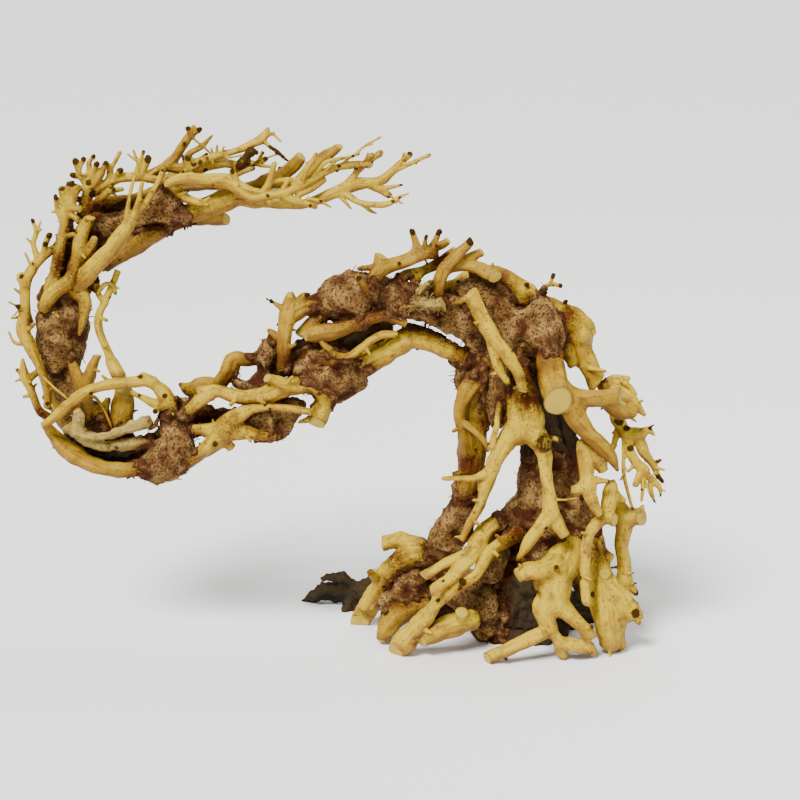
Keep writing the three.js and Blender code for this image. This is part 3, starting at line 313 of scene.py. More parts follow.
      [-245, 144, -6, 7.6], [-229, 152.5, -7, 8.4], [-214, 152.5, -8, 8], [-198, 155, -8, 6.6],
      [-180, 164, -7, 6.6], [-170, 172, -6, 5]],
  ]],
  ["sweep_bottom", "ochre", [
    [[-336, 152, -12, 3], [-330, 143, -13, 4.8], [-320, 133, -15, 6.6], [-307, 124, -17, 6.5],
      [-292, 120, -18, 6], [-277, 119, -18, 5.6], [-262, 121, -18, 5]],
  ]],
  ["bark_band", "grey", [
    [[-321, 151, -23, 5.4], [-312, 145, -25, 5.4], [-300, 142, -26, 3.8], [-286, 145, -26, 3.6],
      [-272, 150, -25, 4.2], [-261, 154, -24, 4.2]],
    [[-314, 147, -25, 4.6], [-312, 156, -27, 4.4], [-314, 161.5, -28, 2.8]],
    [[-310, 141, -24, 4.6], [-296, 136.5, -22, 4.4], [-280, 137, -20, 5], [-263, 139, -18, 4.4]],
  ]],
  ["arch_limb", "pale", [
    [[-338, 149.5, -24, 3], [-328, 157, -27, 4], [-317, 167, -29, 4.2], [-305, 175, -29, 4.2],
      [-292, 179, -28, 4.2], [-278, 180, -27, 4.4], [-265, 181, -25, 4.4], [-256, 176, -23, 5],
      [-250, 168, -22, 6.4], [-249, 160, -22, 7]],
    [[-261, 181, -25, 4.4], [-269, 186, -27, 2.6]],
    [[-256, 164, -23, 4], [-266, 169, -26, 2.6], [-275, 173, -28, 1.8]],
  ]],
  ["block_stub", "ochre", [
    [[-280, 175, -13, 6.4], [-281, 165, -13, 7], [-282, 152, -13, 8], [-281, 146, -13, 7.4]],
  ]],
  ["y_stub", "ochre", [
    [[-318, 197.5, -17, 3], [-314, 186, -18, 4.4], [-309, 173, -17, 5.4], [-306, 158, -14, 5.4]],
    [[-299, 199.5, -15, 3.2], [-304, 189, -16, 4.6], [-308, 175, -17, 5]],
    [[-306, 163, -15, 4.4], [-297, 160, -14, 4.6], [-292, 168, -14, 2.2]],
    [[-297, 160, -14, 4.4], [-293, 150, -15, 4]],
  ]],
  # The left side, up to the top of the curl.
  ["riser_inner", "pale", [
    [[-284, 185, -22, 4.4], [-288, 192, -19, 3.8], [-293, 204, -17, 3.4], [-298, 216, -15, 3.2],
      [-298, 227, -14, 3], [-294, 237, -12, 3], [-289, 248, -10, 2.6], [-285, 259, -9, 2.6]],
    [[-294, 236, -12, 2.6], [-299, 243, -10, 2.2], [-300, 253, -8, 2.6]],
  ]],
  ["riser_outer", "pale", [
    [[-334, 162, -16, 3.4], [-335, 175, -18, 3.4], [-340, 192, -19, 3.8], [-346, 205, -18, 4.5],
      [-351, 216, -16, 5], [-350, 230, -14, 4], [-350, 245, -12, 3.8], [-347, 256, -10, 4],
      [-340, 266, -8, 3.6], [-330, 274, -6, 3.2]],
    [[-350, 248, -12, 3.6], [-354, 256, -13, 3]],
    [[-341, 267, -8, 2.8], [-344, 277, -9, 2], [-342, 286, -9, 2], [-345, 294, -9, 1.4]],
    [[-337, 269, -8, 2.6], [-336, 277, -9, 2.6], [-333, 283.5, -9, 2.2]],
    [[-348, 208, -17, 2.4], [-357, 208, -19, 1.4], [-361.5, 216, -19, 0.7]],
  ]],
  ["stem_lower_left", "pale", [
    [[-333, 155, -6, 4.4], [-340, 161, -8, 3.6], [-346, 175, -8, 3.2], [-350, 184, -7, 4],
      [-351.5, 196, -7, 1.6]],
  ]],
  ["stem_left", "pale", [
    [[-337, 234, -14, 4.6], [-332, 246, -12, 5.5], [-328, 260, -10, 5], [-325, 275, -9, 5],
      [-322, 290, -9, 4.6], [-321, 302, -9, 4.2], [-324, 317, -9, 2.6]],
    [[-321, 300, -9, 3.8], [-316, 309, -12, 3.2], [-317, 320, -13, 2]],
    [[-323, 292, -10, 3], [-328, 304, -12, 1.8], [-328.5, 311, -13, 1.3]],
  ]],
  ["strut_long", "pale", [
    [[-316, 243, -8, 5.5], [-309, 253, -16, 6.4], [-300, 263, -21, 5.8], [-289, 275, -21, 5.4],
      [-280, 287, -21, 5], [-271, 299, -19, 3.8], [-262, 312, -18, 2.8], [-253, 328, -17, 1.8]],
    [[-278, 290, -20, 4], [-278, 302, -21, 1.9], [-275, 318, -21, 1.5], [-273, 325, -21, 1.2]],
    [[-275, 293, -20, 3.6], [-271, 306, -22, 2], [-268, 320, -23, 1.6]],
  ]],
  ["twig_crown_left", "pale", [
    [[-307, 292, -5, 4.4], [-307, 308, -6, 4.2], [-305, 320, -7, 3.2], [-305, 335, -7, 1.8]],
    [[-306, 317, -7, 2.6], [-311, 325, -8, 2.4], [-315, 335, -9, 2.2]],
    [[-304, 312, -5, 3.4], [-296, 318, -4, 3.8], [-286, 323, -3, 4], [-276, 324, -3, 3.8],
      [-266, 324, -4, 3.8], [-256, 321, -7, 3.4], [-247, 317, -12, 3.4], [-240, 311, -15, 3.6],
      [-232, 307, -17, 2.8], [-225, 306, -18, 2.2], [-218.5, 301.5, -18, 1]],
    [[-301, 313, -4, 2.6], [-282, 315.5, -5, 1.8]],
    [[-272, 325, -4, 3.4], [-270, 333, -6, 2], [-267, 342, -7, 1.3]],
  ]],
  ["horn_top", "ochre", [
    [[-268, 325, 6, 3], [-255, 329, 6, 3.6], [-247, 335, 6, 3.8], [-241, 343, 5, 3], [-236, 351, 4, 3],
      [-232, 358.5, 3, 2.4]],
    [[-249, 331, 6, 3.6], [-239, 331, 5, 3.4], [-235, 340, 4, 2.8], [-226, 345, 2, 1.6],
      [-219, 353, 1, 0.9]],
  ]],
  ["under_limb", "ochre", [
    [[-293, 261, 0, 4], [-282, 271, 0, 6.4], [-270, 279, 1, 7.4], [-256, 287, 2, 7], [-240, 294, 3, 6],
      [-224, 295, 4, 5.4], [-208.5, 294.5, 4, 4.6]],
  ]],
  ["spray_tip", "pale", [
    [[-243, 296, -8, 4.8], [-230, 300, -7, 6.4], [-215, 306, -6, 6.8], [-200, 311, -4, 6.8],
      [-185, 308, -4, 6], [-170, 306, -4, 5], [-155, 305, -5, 3.6], [-142, 309.5, -6, 4],
      [-130, 315, -6, 4.4], [-120, 319, -5, 4.6], [-110, 320, -4, 4], [-102, 321, -3, 3.8],
      [-94, 327, -2, 3], [-80.5, 340, 0, 2.2]],
    [[-92, 328.5, -2, 2.4], [-79, 334, -4, 1.8], [-67, 339.5, -6, 1.5]],
    [[-125, 318, -6, 3], [-118, 327, -8, 2.6], [-107, 340, -11, 1.6]],
    [[-115, 330, -9, 2.4], [-101.5, 341, -9, 2]],
    [[-138, 310, -7, 3], [-126, 312, -9, 2.2], [-117, 307, -10, 2], [-107.5, 300, -10, 1.4]],
    [[-127, 312, -9, 2.2], [-115, 306, -13, 2.2], [-104, 304.5, -14, 2.2], [-95, 305.5, -14, 2.2],
      [-88, 310, -14, 1.6], [-81.5, 312.5, -14, 0.7]],
  ]],
  ["spray_front", "pale", [
    [[-252, 319, -24, 2.6], [-240, 323, -22, 3.8], [-224, 322, -18, 4.5], [-210, 321, -16, 5],
      [-200, 316, -17, 5], [-191, 310, -19, 4.6], [-181, 311, -20, 4.6], [-170, 313, -18, 4],
      [-160, 317, -16, 4.2], [-150, 322, -14, 3.6], [-141, 327, -12, 3], [-131, 331, -11, 2.6],
      [-118, 333, -10, 3], [-107, 333, -9, 2.8]],
    [[-184, 312, -20, 3], [-179, 320, -22, 2.8], [-175.5, 333, -23, 2.2]],
    [[-179, 321, -21, 2.2], [-165, 322, -17, 2.2], [-153, 321, -14, 2.4]],
    [[-158, 319, -16, 3.4], [-154, 328, -18, 2.8], [-146, 340, -20, 1.4]],
    [[-160, 311, -17, 3], [-150, 316, -13, 3], [-141, 322, -11, 2.4]],
    [[-150, 323, -14, 2.4], [-140, 334, -15, 1.8], [-129, 337, -15, 1.4], [-120, 339, -15, 1.4],
      [-112, 346, -14, 1.2], [-101, 352, -13, 0.9]],
    [[-170, 311, -18, 3], [-160, 307, -18, 3], [-147, 303.5, -18, 2.2]],
  ]],
  ["spray_back", "ochre", [
    [[-200, 316, 8, 3.6], [-183, 320, 9, 4.8], [-171, 325, 10, 4.8], [-163, 331, 9, 4.4],
      [-156.5, 339, 8, 4]],
    [[-178, 320, 9, 4.5], [-162, 320, 8, 3.6], [-151, 328, 7, 4.4], [-140, 338, 6, 4.8],
      [-129.5, 346, 5, 3]],
  ]],
  ["twig_crown_right", "pale", [
    [[-244, 321, -13, 2.8], [-236, 328, -11, 3.2], [-228, 334, -9, 3], [-215, 339, -6, 3],
      [-203, 342, -5, 2.6], [-191, 347, -4, 3], [-184, 351, -4, 3.4], [-180, 357.5, -4, 1.8]],
    [[-184, 352, -4, 2.4], [-176, 355, -6, 1.4]],
    [[-184, 350, -4, 2], [-177, 344, -7, 1.4], [-166.5, 335.5, -9, 0.5]],
    [[-236, 326, -9, 3.2], [-224, 331, -3, 3.6], [-213, 334, -1, 3.8], [-198, 332, -1, 3.2],
      [-195, 338, -2, 3.4], [-190.5, 342, -4, 2.6]],
    [[-197, 333, -1, 3], [-188, 334, -3, 2], [-183.5, 341, -5, 1.2]],
  ]],
  # Limbs on the side that the front view does not show.
  ["back_limb_trunk", "ochre", [
    [[20, 226, 19, 6], [14, 206, 24, 7.5], [13, 184, 27, 8], [16, 160, 31, 8.4], [20, 135, 36, 9],
      [23, 110, 39, 9], [26, 84, 43, 9], [33, 58, 52, 8.6], [42, 36, 64, 7.6], [48, 21, 74, 5.6]],
    [[16, 164, 31, 7], [5, 146, 37, 6], [2, 120, 40, 5.6], [3, 92, 45, 5.2], [-8, 62, 56, 5],
      [-22, 38, 66, 4.6], [-34, 20, 74, 3.6]],
    [[21, 128, 38, 6], [28, 114, 50, 4.4], [30, 98, 58, 2.6]],
  ]],
  ["back_limb_crown", "pale", [
    [[-82, 240, 11, 4.6], [-64, 244, 14, 6.2], [-46, 247, 17, 6.4], [-28, 249, 19, 6.8],
      [-10, 244, 21, 7.6], [8, 236, 21, 8], [23, 228, 21, 6.8], [35, 216, 22, 4.6]],
    [[-48, 248, 19, 5], [-42, 255, 30, 3.6], [-36, 259, 42, 2.2]],
    [[2, 240, 24, 5], [10, 240, 36, 3.8], [22, 234, 46, 2.4]],
    [[-66, 244, 16, 4.6], [-78, 247, 28, 3.4], [-92, 249, 38, 1.8]],
  ]],
  ["back_limb_arm", "pale", [
    [[-44, 226, 11, 5.6], [-62, 230, 12, 6.4], [-84, 232, 10, 6.8], [-105, 230, 9, 7], [-124, 222, 9, 7],
      [-144, 206, 9, 6.8], [-160, 196, 9, 6.4], [-174, 187, 8, 5.6], [-186, 175, 6, 4.4]],
    [[-104, 232, 12, 5], [-112, 238, 25, 4], [-126, 242, 38, 2]],
    [[-146, 206, 13, 5], [-154, 206, 26, 3.8], [-166, 200, 37, 2]],
  ]],
  ["back_limb_left", "ochre", [
    [[-238, 140, 5, 5.4], [-262, 132, 7, 6.2], [-284, 131, 8, 6.8], [-306, 137, 8, 6.8],
      [-321, 151, 9, 6.4], [-327, 168, 12, 6.4], [-326, 190, 17, 6.8], [-327, 214, 19, 7.4],
      [-321, 238, 18, 7.2], [-313, 258, 18, 6.6], [-302, 276, 19, 5.4]],
    [[-327, 204, 20, 5], [-334, 216, 31, 4], [-334, 234, 40, 2]],
    [[-304, 136, 11, 5], [-298, 146, 24, 3.8], [-284, 148, 36, 2]],
    [[-318, 244, 20, 5], [-310, 252, 32, 3.6], [-304, 266, 41, 1.8]],
  ]],
  ["back_limb_top", "ochre", [
    [[-312, 298, 14, 5], [-296, 305, 15, 5.8], [-281, 306, 15, 6], [-266, 308, 15, 6.2],
      [-253, 315, 16, 5.8], [-236, 319, 16, 5.8], [-215, 320, 15, 5.6], [-203, 319, 13, 4]],
    [[-254, 317, 18, 4.4], [-246, 326, 28, 3.4], [-238, 332, 37, 2]],
    [[-222, 321, 18, 4], [-208, 324, 28, 3], [-190, 330, 37, 1.6]],
    [[-292, 306, 17, 4.6], [-300, 314, 27, 3.4], [-303, 324, 34, 1.8]],
  ]],
]

# The putty that beds the wood.
PUTTY = [
  ["putty_collar", [
    [[14, 58, 16, 21], [18, 76, 12, 27], [19, 96, 10, 26], [18, 114, 11, 22]],
    [[4, 88, 4, 16], [-10, 84, -2, 11], [-20, 70, -4, 10], [-24, 50, -4, 10]],
  ]],
  ["putty_leg", [
    [[-43, 97, 8, 9.4], [-47, 84, 10, 11.4], [-54, 71, 12, 12.4], [-58, 60, 16, 10], [-56, 44, 22, 12],
      [-40, 34, 8, 14], [-30, 26, -2, 13], [-27, 10, 0, 11]],
    [[-56, 46, 20, 13], [-74, 40, 14, 11.5], [-86, 31, 8, 9.5], [-97, 26, 2, 4.5]],
  ]],
  ["putty_crown", [
    [[-24, 236, -2, 7], [-12, 222, -4, 9.5], [0, 217, -8, 14], [11, 214, -10, 14.5], [14, 202, -8, 9]],
    [[-2, 215, -6, 12], [-9, 204, -5, 11], [-14, 190, -5, 11], [-17, 174, -5, 10], [-18, 161, -4, 7.5],
      [-19, 153, -3, 4.5]],
    [[6, 222, -10, 10], [11, 229, -12, 8.4], [12, 233, -11, 6]],
    [[-18, 232, -2, 9], [-28, 240, -2, 9.5], [-38, 244, -1, 8.5], [-46, 243, 0, 5]],
  ]],
  ["putty_arm", [
    [[-140, 231, -8, 7], [-128, 239, -9, 15], [-113, 242, -9, 16.4], [-98, 240, -8, 13],
      [-80, 237, -7, 12], [-62, 231, -7, 12.4], [-46, 226, -7, 13.4], [-37, 216, -6, 9],
      [-37, 204, -4, 6.5], [-41, 194, 0, 6.5], [-43, 184, 2, 6], [-43, 176, 3, 4]],
  ]],
  ["putty_mid", [
    [[-163, 187, -12, 5], [-151, 191, -12, 11], [-138, 187, -13, 15], [-126, 182, -12, 11.4],
      [-117, 182, -11, 6]],
    [[-140, 180, -13, 11], [-133, 173, -13, 6]],
  ]],
  ["putty_joint", [
    [[-179, 206, -12, 4.4], [-181, 199, -12, 7.4], [-180, 190, -12, 7], [-183, 179, -12, 7],
      [-184, 166, -13, 9], [-181, 154, -14, 13], [-170, 155, -14, 11], [-160, 163, -13, 6.4]],
    [[-182, 180, -12, 6], [-192, 178, -12, 5.6], [-202, 180, -12, 3.4]],
    [[-183, 154, -14, 12.4], [-195, 151, -14, 7]],
  ]],
  ["putty_bend", [
    [[-262, 126, -16, 7], [-252, 128, -18, 12.4], [-242, 138, -18, 11.6], [-246, 151, -17, 9.6],
      [-241, 163, -15, 5.4]],
    [[-244, 156, -15, 7], [-233, 160, -12, 6.4], [-221, 159, -10, 4.6]],
    [[-268, 115, -14, 4], [-256, 116, -15, 6], [-246, 121, -16, 6.6], [-236, 130, -17, 5.4]],
  ]],
  ["putty_spine", [
    [[-310, 255, 2, 10], [-319, 240, 1, 13.4], [-324, 224, 0, 17.2], [-324, 207, 0, 15.4],
      [-326, 192, -2, 11.4], [-320, 178, -3, 9], [-311, 163, -4, 8], [-303, 153, -6, 7],
      [-293, 149, -8, 6.4], [-283, 151, -8, 4.5]],
  ]],
  ["putty_top", [
    [[-308, 266, 4, 11], [-305, 279, 4, 14.4], [-293, 288, 4, 11], [-279, 294, 3, 6.4], [-264, 297, 0, 6],
      [-252, 301, -3, 9.4], [-243, 298, -4, 7]],
    [[-254, 304, -3, 8], [-249, 312, -4, 4.6]],
    [[-325, 244, 2, 5], [-320, 260, 0, 6.4], [-314, 278, -2, 6.6], [-306, 290, -2, 6]],
  ]],
]

# Twigs, thorns and stubs too fine for the solids, by the piece that they grow from.
TWIGS = {
    "horn_top": [
        [[-236, 336, 4, 2.4], [-229, 336, 3, 2], [-223, 340, 2, 1.4]],
        [[-233, 352, 3, 2.2], [-236, 358, 1, 2.2]],
        [[-232, 354, 3, 2], [-228, 357.5, 1, 1.9]],
        [[-234, 342, 4, 1.5], [-226, 347, 2, 1.2], [-220, 352.5, 1, 0.85]],
        [[-231, 350, 2, 1], [-225, 345, 1, 0.9], [-219.5, 340, 0, 0.85]],
    ],
    "twig_crown_right": [
        [[-241, 321, -14, 3], [-237, 328, -15, 2.8], [-232, 334, -14, 2.6]],
        [[-236, 329, -15, 2.2], [-236, 337.5, -16, 2]],
        [[-235, 329, -15, 2], [-227, 334.5, -16, 1.8]],
        [[-239, 324, -15, 2], [-244, 324.5, -17, 2]],
        [[-235, 327, -15, 1.9], [-228, 324, -18, 1.6], [-221, 322.5, -18, 1.3]],
        [[-212, 338, -6, 1.2], [-205, 338, -9, 1], [-198.5, 339.5, -9, 0.9]],
        [[-216, 339, -6, 1.3], [-215.5, 346, -7, 1.1]],
        [[-214, 339, -7, 1.2], [-210.5, 345.5, -8, 1]],
        [[-218, 338, -6, 1.2], [-219.5, 344, -8, 0.9]],
        [[-202, 329, -8, 2.4], [-198.5, 333.5, -11, 3.8], [-195, 338, -12, 2.4], [-192, 342, -12, 3.2],
          [-188, 341, -12, 1.8]],
        [[-197, 335, -11, 2.6], [-190.5, 333.5, -12, 2]],
        [[-194, 334, -4, 1.8], [-184, 332, -7, 1.5], [-175.5, 331, -7, 1.1]],
        [[-187, 333, -6, 1.7], [-182, 337, -8, 1.8]],
        [[-187, 335, -4, 1.3], [-184, 342.5, -6, 1]],
        [[-185, 336, -4, 1.2], [-178, 338.5, -7, 1], [-171.5, 341, -7, 0.85]],
        [[-180, 346.5, -7, 1.2], [-173, 341.5, -8, 1.3], [-166, 335.5, -8, 0.9]],
        [[-176, 354, -6, 1.2], [-171, 349, -8, 0.85]],
    ],
    "spray_front": [
        [[-201, 320, -17, 2.6], [-205, 328, -19, 2.2]],
        [[-202, 320, -17, 2.8], [-194, 316, -21, 2.6], [-187, 314, -22, 2.4]],
        [[-170, 315, -19, 1.8], [-166, 321, -21, 1.5]],
        [[-142, 327, -12, 1.8], [-135, 333, -15, 1.3], [-128, 338, -16, 0.95]],
        [[-128, 333, -11, 1.4], [-122, 338, -13, 1], [-116, 340, -13, 0.85]],
        [[-152, 309, -18, 1.6], [-143, 307, -20, 1.3], [-136, 303, -20, 0.9]],
        [[-111, 346, -14, 1], [-107, 347, -15, 0.85]],
    ],
    "spray_tip": [
        [[-108, 319, -4, 3.6], [-101, 315, -5, 3.2], [-95.5, 311.5, -6, 2.4]],
        [[-101, 316, -5, 2.2], [-94, 317, -6, 1.6], [-86, 318.5, -6, 0.9]],
        [[-119, 328, -9, 1.6], [-113, 334, -11, 1.2], [-110, 341, -12, 0.85]],
        [[-94, 326, -2, 1.8], [-88, 333, -4, 1.3], [-84.5, 341, -5, 0.9]],
        [[-101, 315, -5, 1.4], [-94, 311, -8, 1.1], [-90, 306, -8, 0.85]],
        [[-87, 334, -3, 1.3], [-81, 333, -5, 1]],
        [[-110, 301, -10, 1.1], [-104, 298.5, -11, 0.85]],
        [[-90, 308, -14, 1], [-86, 305.5, -15, 0.85]],
        [[-134, 314, -7, 2], [-127, 308, -10, 1.5], [-122, 302, -10, 1]],
    ],
    "twig_crown_left": [
        [[-303, 317, -6, 3.6], [-297, 327.5, -7, 3.4]],
        [[-290, 321, -3, 3.2], [-291, 332, -4, 2.4]],
        [[-290.5, 328, -4, 1.8], [-283.5, 341.5, -5, 1.6]],
        [[-270, 332, -6, 1.6], [-274, 342.5, -7, 1.1]],
        [[-268, 326, -5, 3], [-263.5, 338, -7, 2.6]],
        [[-226, 306, -18, 1.8], [-221, 309.5, -19, 1.2]],
        [[-309, 323, -8, 2.1], [-317, 325.5, -10, 1.9]],
        [[-307, 315, -8, 2.1], [-316, 318, -11, 1.8]],
        [[-312, 329, -9, 1.9], [-309, 337, -10, 1.7]],
        [[-307, 305, -7, 2.6], [-313, 309, -10, 2]],
        [[-304, 302, -6, 3], [-297, 309, -9, 2.9], [-289.5, 316, -9, 2.5]],
        [[-304, 321, -7, 2.1], [-299.5, 333.5, -10, 1.9]],
        [[-298, 323, -6, 2.3], [-293.5, 333.5, -8, 2.2]],
        [[-288, 323, -4, 2.3], [-283, 328.5, -8, 2.2]],
        [[-312, 299, -7, 2.4], [-305, 296, -10, 2.5], [-298, 297.5, -10, 2.2]],
        [[-264, 325, -5, 1.6], [-258, 329, -8, 1.6]],
        [[-306, 333, -8, 1.7], [-302, 339, -9, 1.5]],
        [[-273, 336, -7, 1.1], [-278, 340, -8, 0.9]],
        [[-247, 317, -13, 1.8], [-243, 312, -17, 1.6], [-236, 314, -19, 1.1]],
    ],
    "riser_outer": [
        [[-342, 285, -9, 1.6], [-339, 293, -10, 0.9]],
        [[-346, 262, -9, 1.4], [-350, 271, -11, 1]],
        [[-351, 241, -13, 1.5], [-357.5, 246, -15, 1]],
        [[-350, 231, -15, 2.4], [-355, 233.5, -18, 1.9]],
        [[-354, 233, -17, 1], [-361, 236.5, -19, 0.85]],
        [[-354, 231, -17, 1], [-360, 225, -19, 0.85]],
        [[-343, 275, -9, 1.3], [-348.5, 281, -11, 0.9]],
        [[-343, 283, -9, 1.3], [-338.5, 288, -11, 0.9]],
        [[-334, 173, -17, 1.6], [-329, 178, -20, 1.1]],
        [[-349, 215, -17, 2], [-344, 221, -20, 1.6]],
    ],
    "stem_left": [
        [[-337, 232, -16, 4.4], [-331, 243, -18, 5.6], [-319, 252, -19, 5.5], [-313, 268, -18, 5],
          [-310, 284, -16, 4.6], [-304, 296, -14, 3.6]],
        [[-316, 262, -18, 4], [-306, 272, -17, 3.4], [-301, 282, -15, 2.6]],
        [[-320, 303, -10, 3.2], [-311, 301.5, -15, 2.8]],
        [[-321, 307, -10, 3], [-319, 319, -11, 2.4]],
        [[-319, 305, -10, 3], [-312.5, 316, -13, 2.4]],
        [[-322, 305, -10, 2.5], [-328.5, 309, -13, 1.8]],
        [[-319, 299, -10, 2.7], [-311.5, 293, -14, 2.1]],
        [[-326, 270, -11, 2.2], [-331, 275, -14, 1.6]],
        [[-323, 282, -11, 2.2], [-316, 284, -15, 1.7]],
    ],
    "stem_lower_left": [
        [[-349, 184, -7, 3], [-355.5, 189, -8, 1.2]],
        [[-348, 182, -7, 3], [-341, 188, -5, 2.4]],
        [[-350, 184, -8, 1.4], [-356.5, 181, -9, 0.95]],
        [[-345, 172, -9, 1.8], [-351, 170, -11, 1.3]],
    ],
    "strut_long": [
        [[-314, 245, -12, 6], [-308, 238, -15, 4.6], [-309, 226, -16, 3], [-312, 214, -17, 1.4]],
        [[-330, 229, -22, 1.5], [-326, 226, -24, 1.2]],
    ],
    "riser_inner": [
        [[-298, 226, -14, 1.6], [-293, 224, -17, 1.2]],
        [[-289, 194, -18, 4.6], [-285, 185, -22, 5], [-283, 178, -22, 4]],
        [[-299, 243, -12, 1.8], [-294, 249, -14, 1.8], [-289, 249, -14, 1.6], [-287, 243, -13, 1.5]],
        [[-288, 248, -11, 1.4], [-284, 246, -13, 1]],
    ],
    "y_stub": [
        [[-303, 190, -17, 1.6], [-298, 188, -20, 1.1]],
        [[-306, 172, -17, 1.8], [-300, 169, -20, 1.5], [-294, 160, -21, 1.3], [-289, 148, -22, 1.1]],
    ],
    "arch_limb": [
        [[-337, 184, -26, 1], [-330, 177, -29, 1], [-321, 169.5, -31, 0.95]],
        [[-290, 180, -27, 1.6], [-296, 185, -30, 1.2]],
        [[-254, 166, -23, 2.4], [-259, 160, -28, 1.9]],
    ],
    "antler_mid": [
        [[-168, 231, -19, 3], [-174, 235, -21, 1.8], [-181, 239, -23, 0.7]],
        [[-160, 234, -16, 2], [-163, 243, -20, 1.4]],
        [[-168, 203, -23, 2], [-161, 207, -27, 1.4]],
    ],
    "pale_antler": [
        [[-130, 198, -23, 3.4], [-137, 194, -25, 2.8], [-143, 195, -26, 2]],
        [[-136, 202, -24, 1.6], [-143, 202, -26, 1.1]],
        [[-112, 205, -21, 1.7], [-108, 199, -24, 1.2]],
    ],
    "front_fork": [
        [[17, 99, -31, 1.7], [27, 98, -33, 1], [37, 99.5, -33, 0.85]],
        [[19, 141, -30, 3], [24, 140, -33, 1.6]],
        [[-30, 97, -26, 2], [-36, 98, -30, 1.3]],
        [[-37, 84, -25, 1.9], [-31, 80, -28, 1.3]],
    ],
    "front_strand": [
        [[-36, 241, -20, 2.8], [-44, 238, -22, 2.4], [-51, 235.5, -22, 2]],
        [[-30, 224, -27, 2], [-36, 221, -31, 1.4]],
    ],
    "leg_left": [
        [[-44, 150, -8, 2], [-50, 146, -11, 1.4]],
        [[-38, 118, -2, 3], [-49, 116, -6, 2.2]],
        [[-28, 196, -9, 2.6], [-21, 190, -14, 1.8]],
    ],
    "webbed_root": [
        [[22, 50, -40, 2.4], [22, 51, -46, 1.7]],
        [[10, 34, -40, 2], [8.5, 34, -47, 1.5]],
        [[0, 47, -44, 2.2], [-4, 52.5, -48, 1.4]],
        [[41, 8, -44, 2], [47, 9, -48, 1.5]],
        [[14, 2, -47, 2], [13, 8, -52, 1.8]],
    ],
    "root_right": [
        [[50, 33, -24, 2.4], [47, 32, -31, 1.9]],
        [[66, 19, -26, 2.6], [72, 26, -28, 1.6]],
        [[73, 18, -26, 2.4], [80, 12, -28, 1.6]],
        [[53, 62, -13, 3], [51, 68, -19, 2.4]],
    ],
    "outer_root_right": [
        [[71, 44, -6, 3.4], [77.5, 33, -9, 2.2]],
        [[71, 46, -8, 1.8], [76, 47, -11, 1]],
        [[71, 38, -8, 1.6], [78, 40, -11, 0.9]],
        [[79, 88, -6, 3], [82, 93, -8, 2.2]],
    ],
    "top_limb": [
        [[17.5, 249, -5, 1.6], [20, 255.5, -5, 1.6]],
        [[-20, 252, -1, 4.4], [-21.5, 254, -8, 3.9]],
        [[26, 227, 2, 2.2], [28.5, 237, -2, 1.6]],
        [[-1, 241, 0, 2.5], [1.5, 248.5, -4, 1.8]],
        [[12, 235, 0, 2.2], [14.5, 244, -4, 1.6]],
        [[46, 190, 0, 2.6], [56, 188, -4, 1.6]],
    ],
    "twigs_right": [
        [[57, 181, 10, 3], [64, 184, 8, 2.2], [72, 183, 6, 2]],
        [[89, 123, -3, 2.4], [95, 126, -3, 1.6]],
        [[88, 112, -8, 2.4], [88, 104, -9, 2], [91, 96.5, -9, 0.9]],
        [[81, 119, -10, 2.6], [77, 108, -14, 2.7]],
        [[66, 148, 0, 3.4], [61.5, 135, 1, 2]],
        [[91, 121, -4, 1.8], [97.5, 119, -6, 1]],
        [[84, 146, -5, 1.8], [90, 150.5, -7, 1]],
        [[75, 166, 0, 1.8], [82.5, 167.5, -4, 1]],
        [[72, 157, 0, 1.6], [78, 153, -4, 1]],
        [[77, 123, -8, 1.8], [72, 118, -11, 1.2]],
        [[84, 112, -11, 1.3], [87, 103, -13, 0.9]],
        [[71, 120, -8, 1], [67, 112, -10, 0.85]],
        [[93, 107, -8, 1.2], [98, 104, -10, 0.85]],
    ],
    "foot_left": [
        [[-104, 44, 14, 3], [-108, 47.5, 8, 2.6]],
        [[-70, 62, 8, 2.6], [-72, 67.5, 3, 1.6]],
    ],
    "root_front_left": [
        [[-14, 68, -26, 2], [-20, 73, -31, 1.4]],
        [[-22, 62, -30, 2], [-18, 58, -35, 1.3]],
        [[-63, 20, -42, 2.2], [-60, 24, -47, 1.4]],
        [[-72, 8, -40, 2.4], [-66, 5, -44, 1.8]],
    ],
    "drip_lower": [
        [[42, 44, -46, 1.8], [46, 42, -50, 1.4]],
        [[45, 74, -33, 2], [40, 75, -38, 1.4]],
    ],
    "mid_limb": [
        [[-168, 178, -30, 2.2], [-163, 184, -35, 1.5]],
        [[-201, 170, -28, 2], [-206, 165, -32, 1.4]],
        [[-188, 170, -30, 2.4], [-182, 165, -34, 1.6]],
    ],
    "lower_web": [
        [[-216, 140, -31, 2.4], [-217, 137, -36, 2]],
        [[-197, 145, -32, 2], [-192, 139, -36, 1.4]],
    ],
    "drip_upper": [
        [[46, 112, -30, 3.5], [58, 111, -29, 1.5]],
    ],
    "antler_top": [
        [[-70, 273, -11, 3], [-70, 279, -13, 1.8], [-69, 282.5, -14, 1.6]],
        [[-65, 274, -9, 3], [-58, 277, -11, 3.2], [-54, 280, -12, 2.6]],
        [[-105, 261, -19, 3], [-116, 260, -17, 2]],
        [[-109, 242, -26, 2.8], [-113, 248, -29, 2.8], [-117, 254, -31, 2.7]],
    ],
}

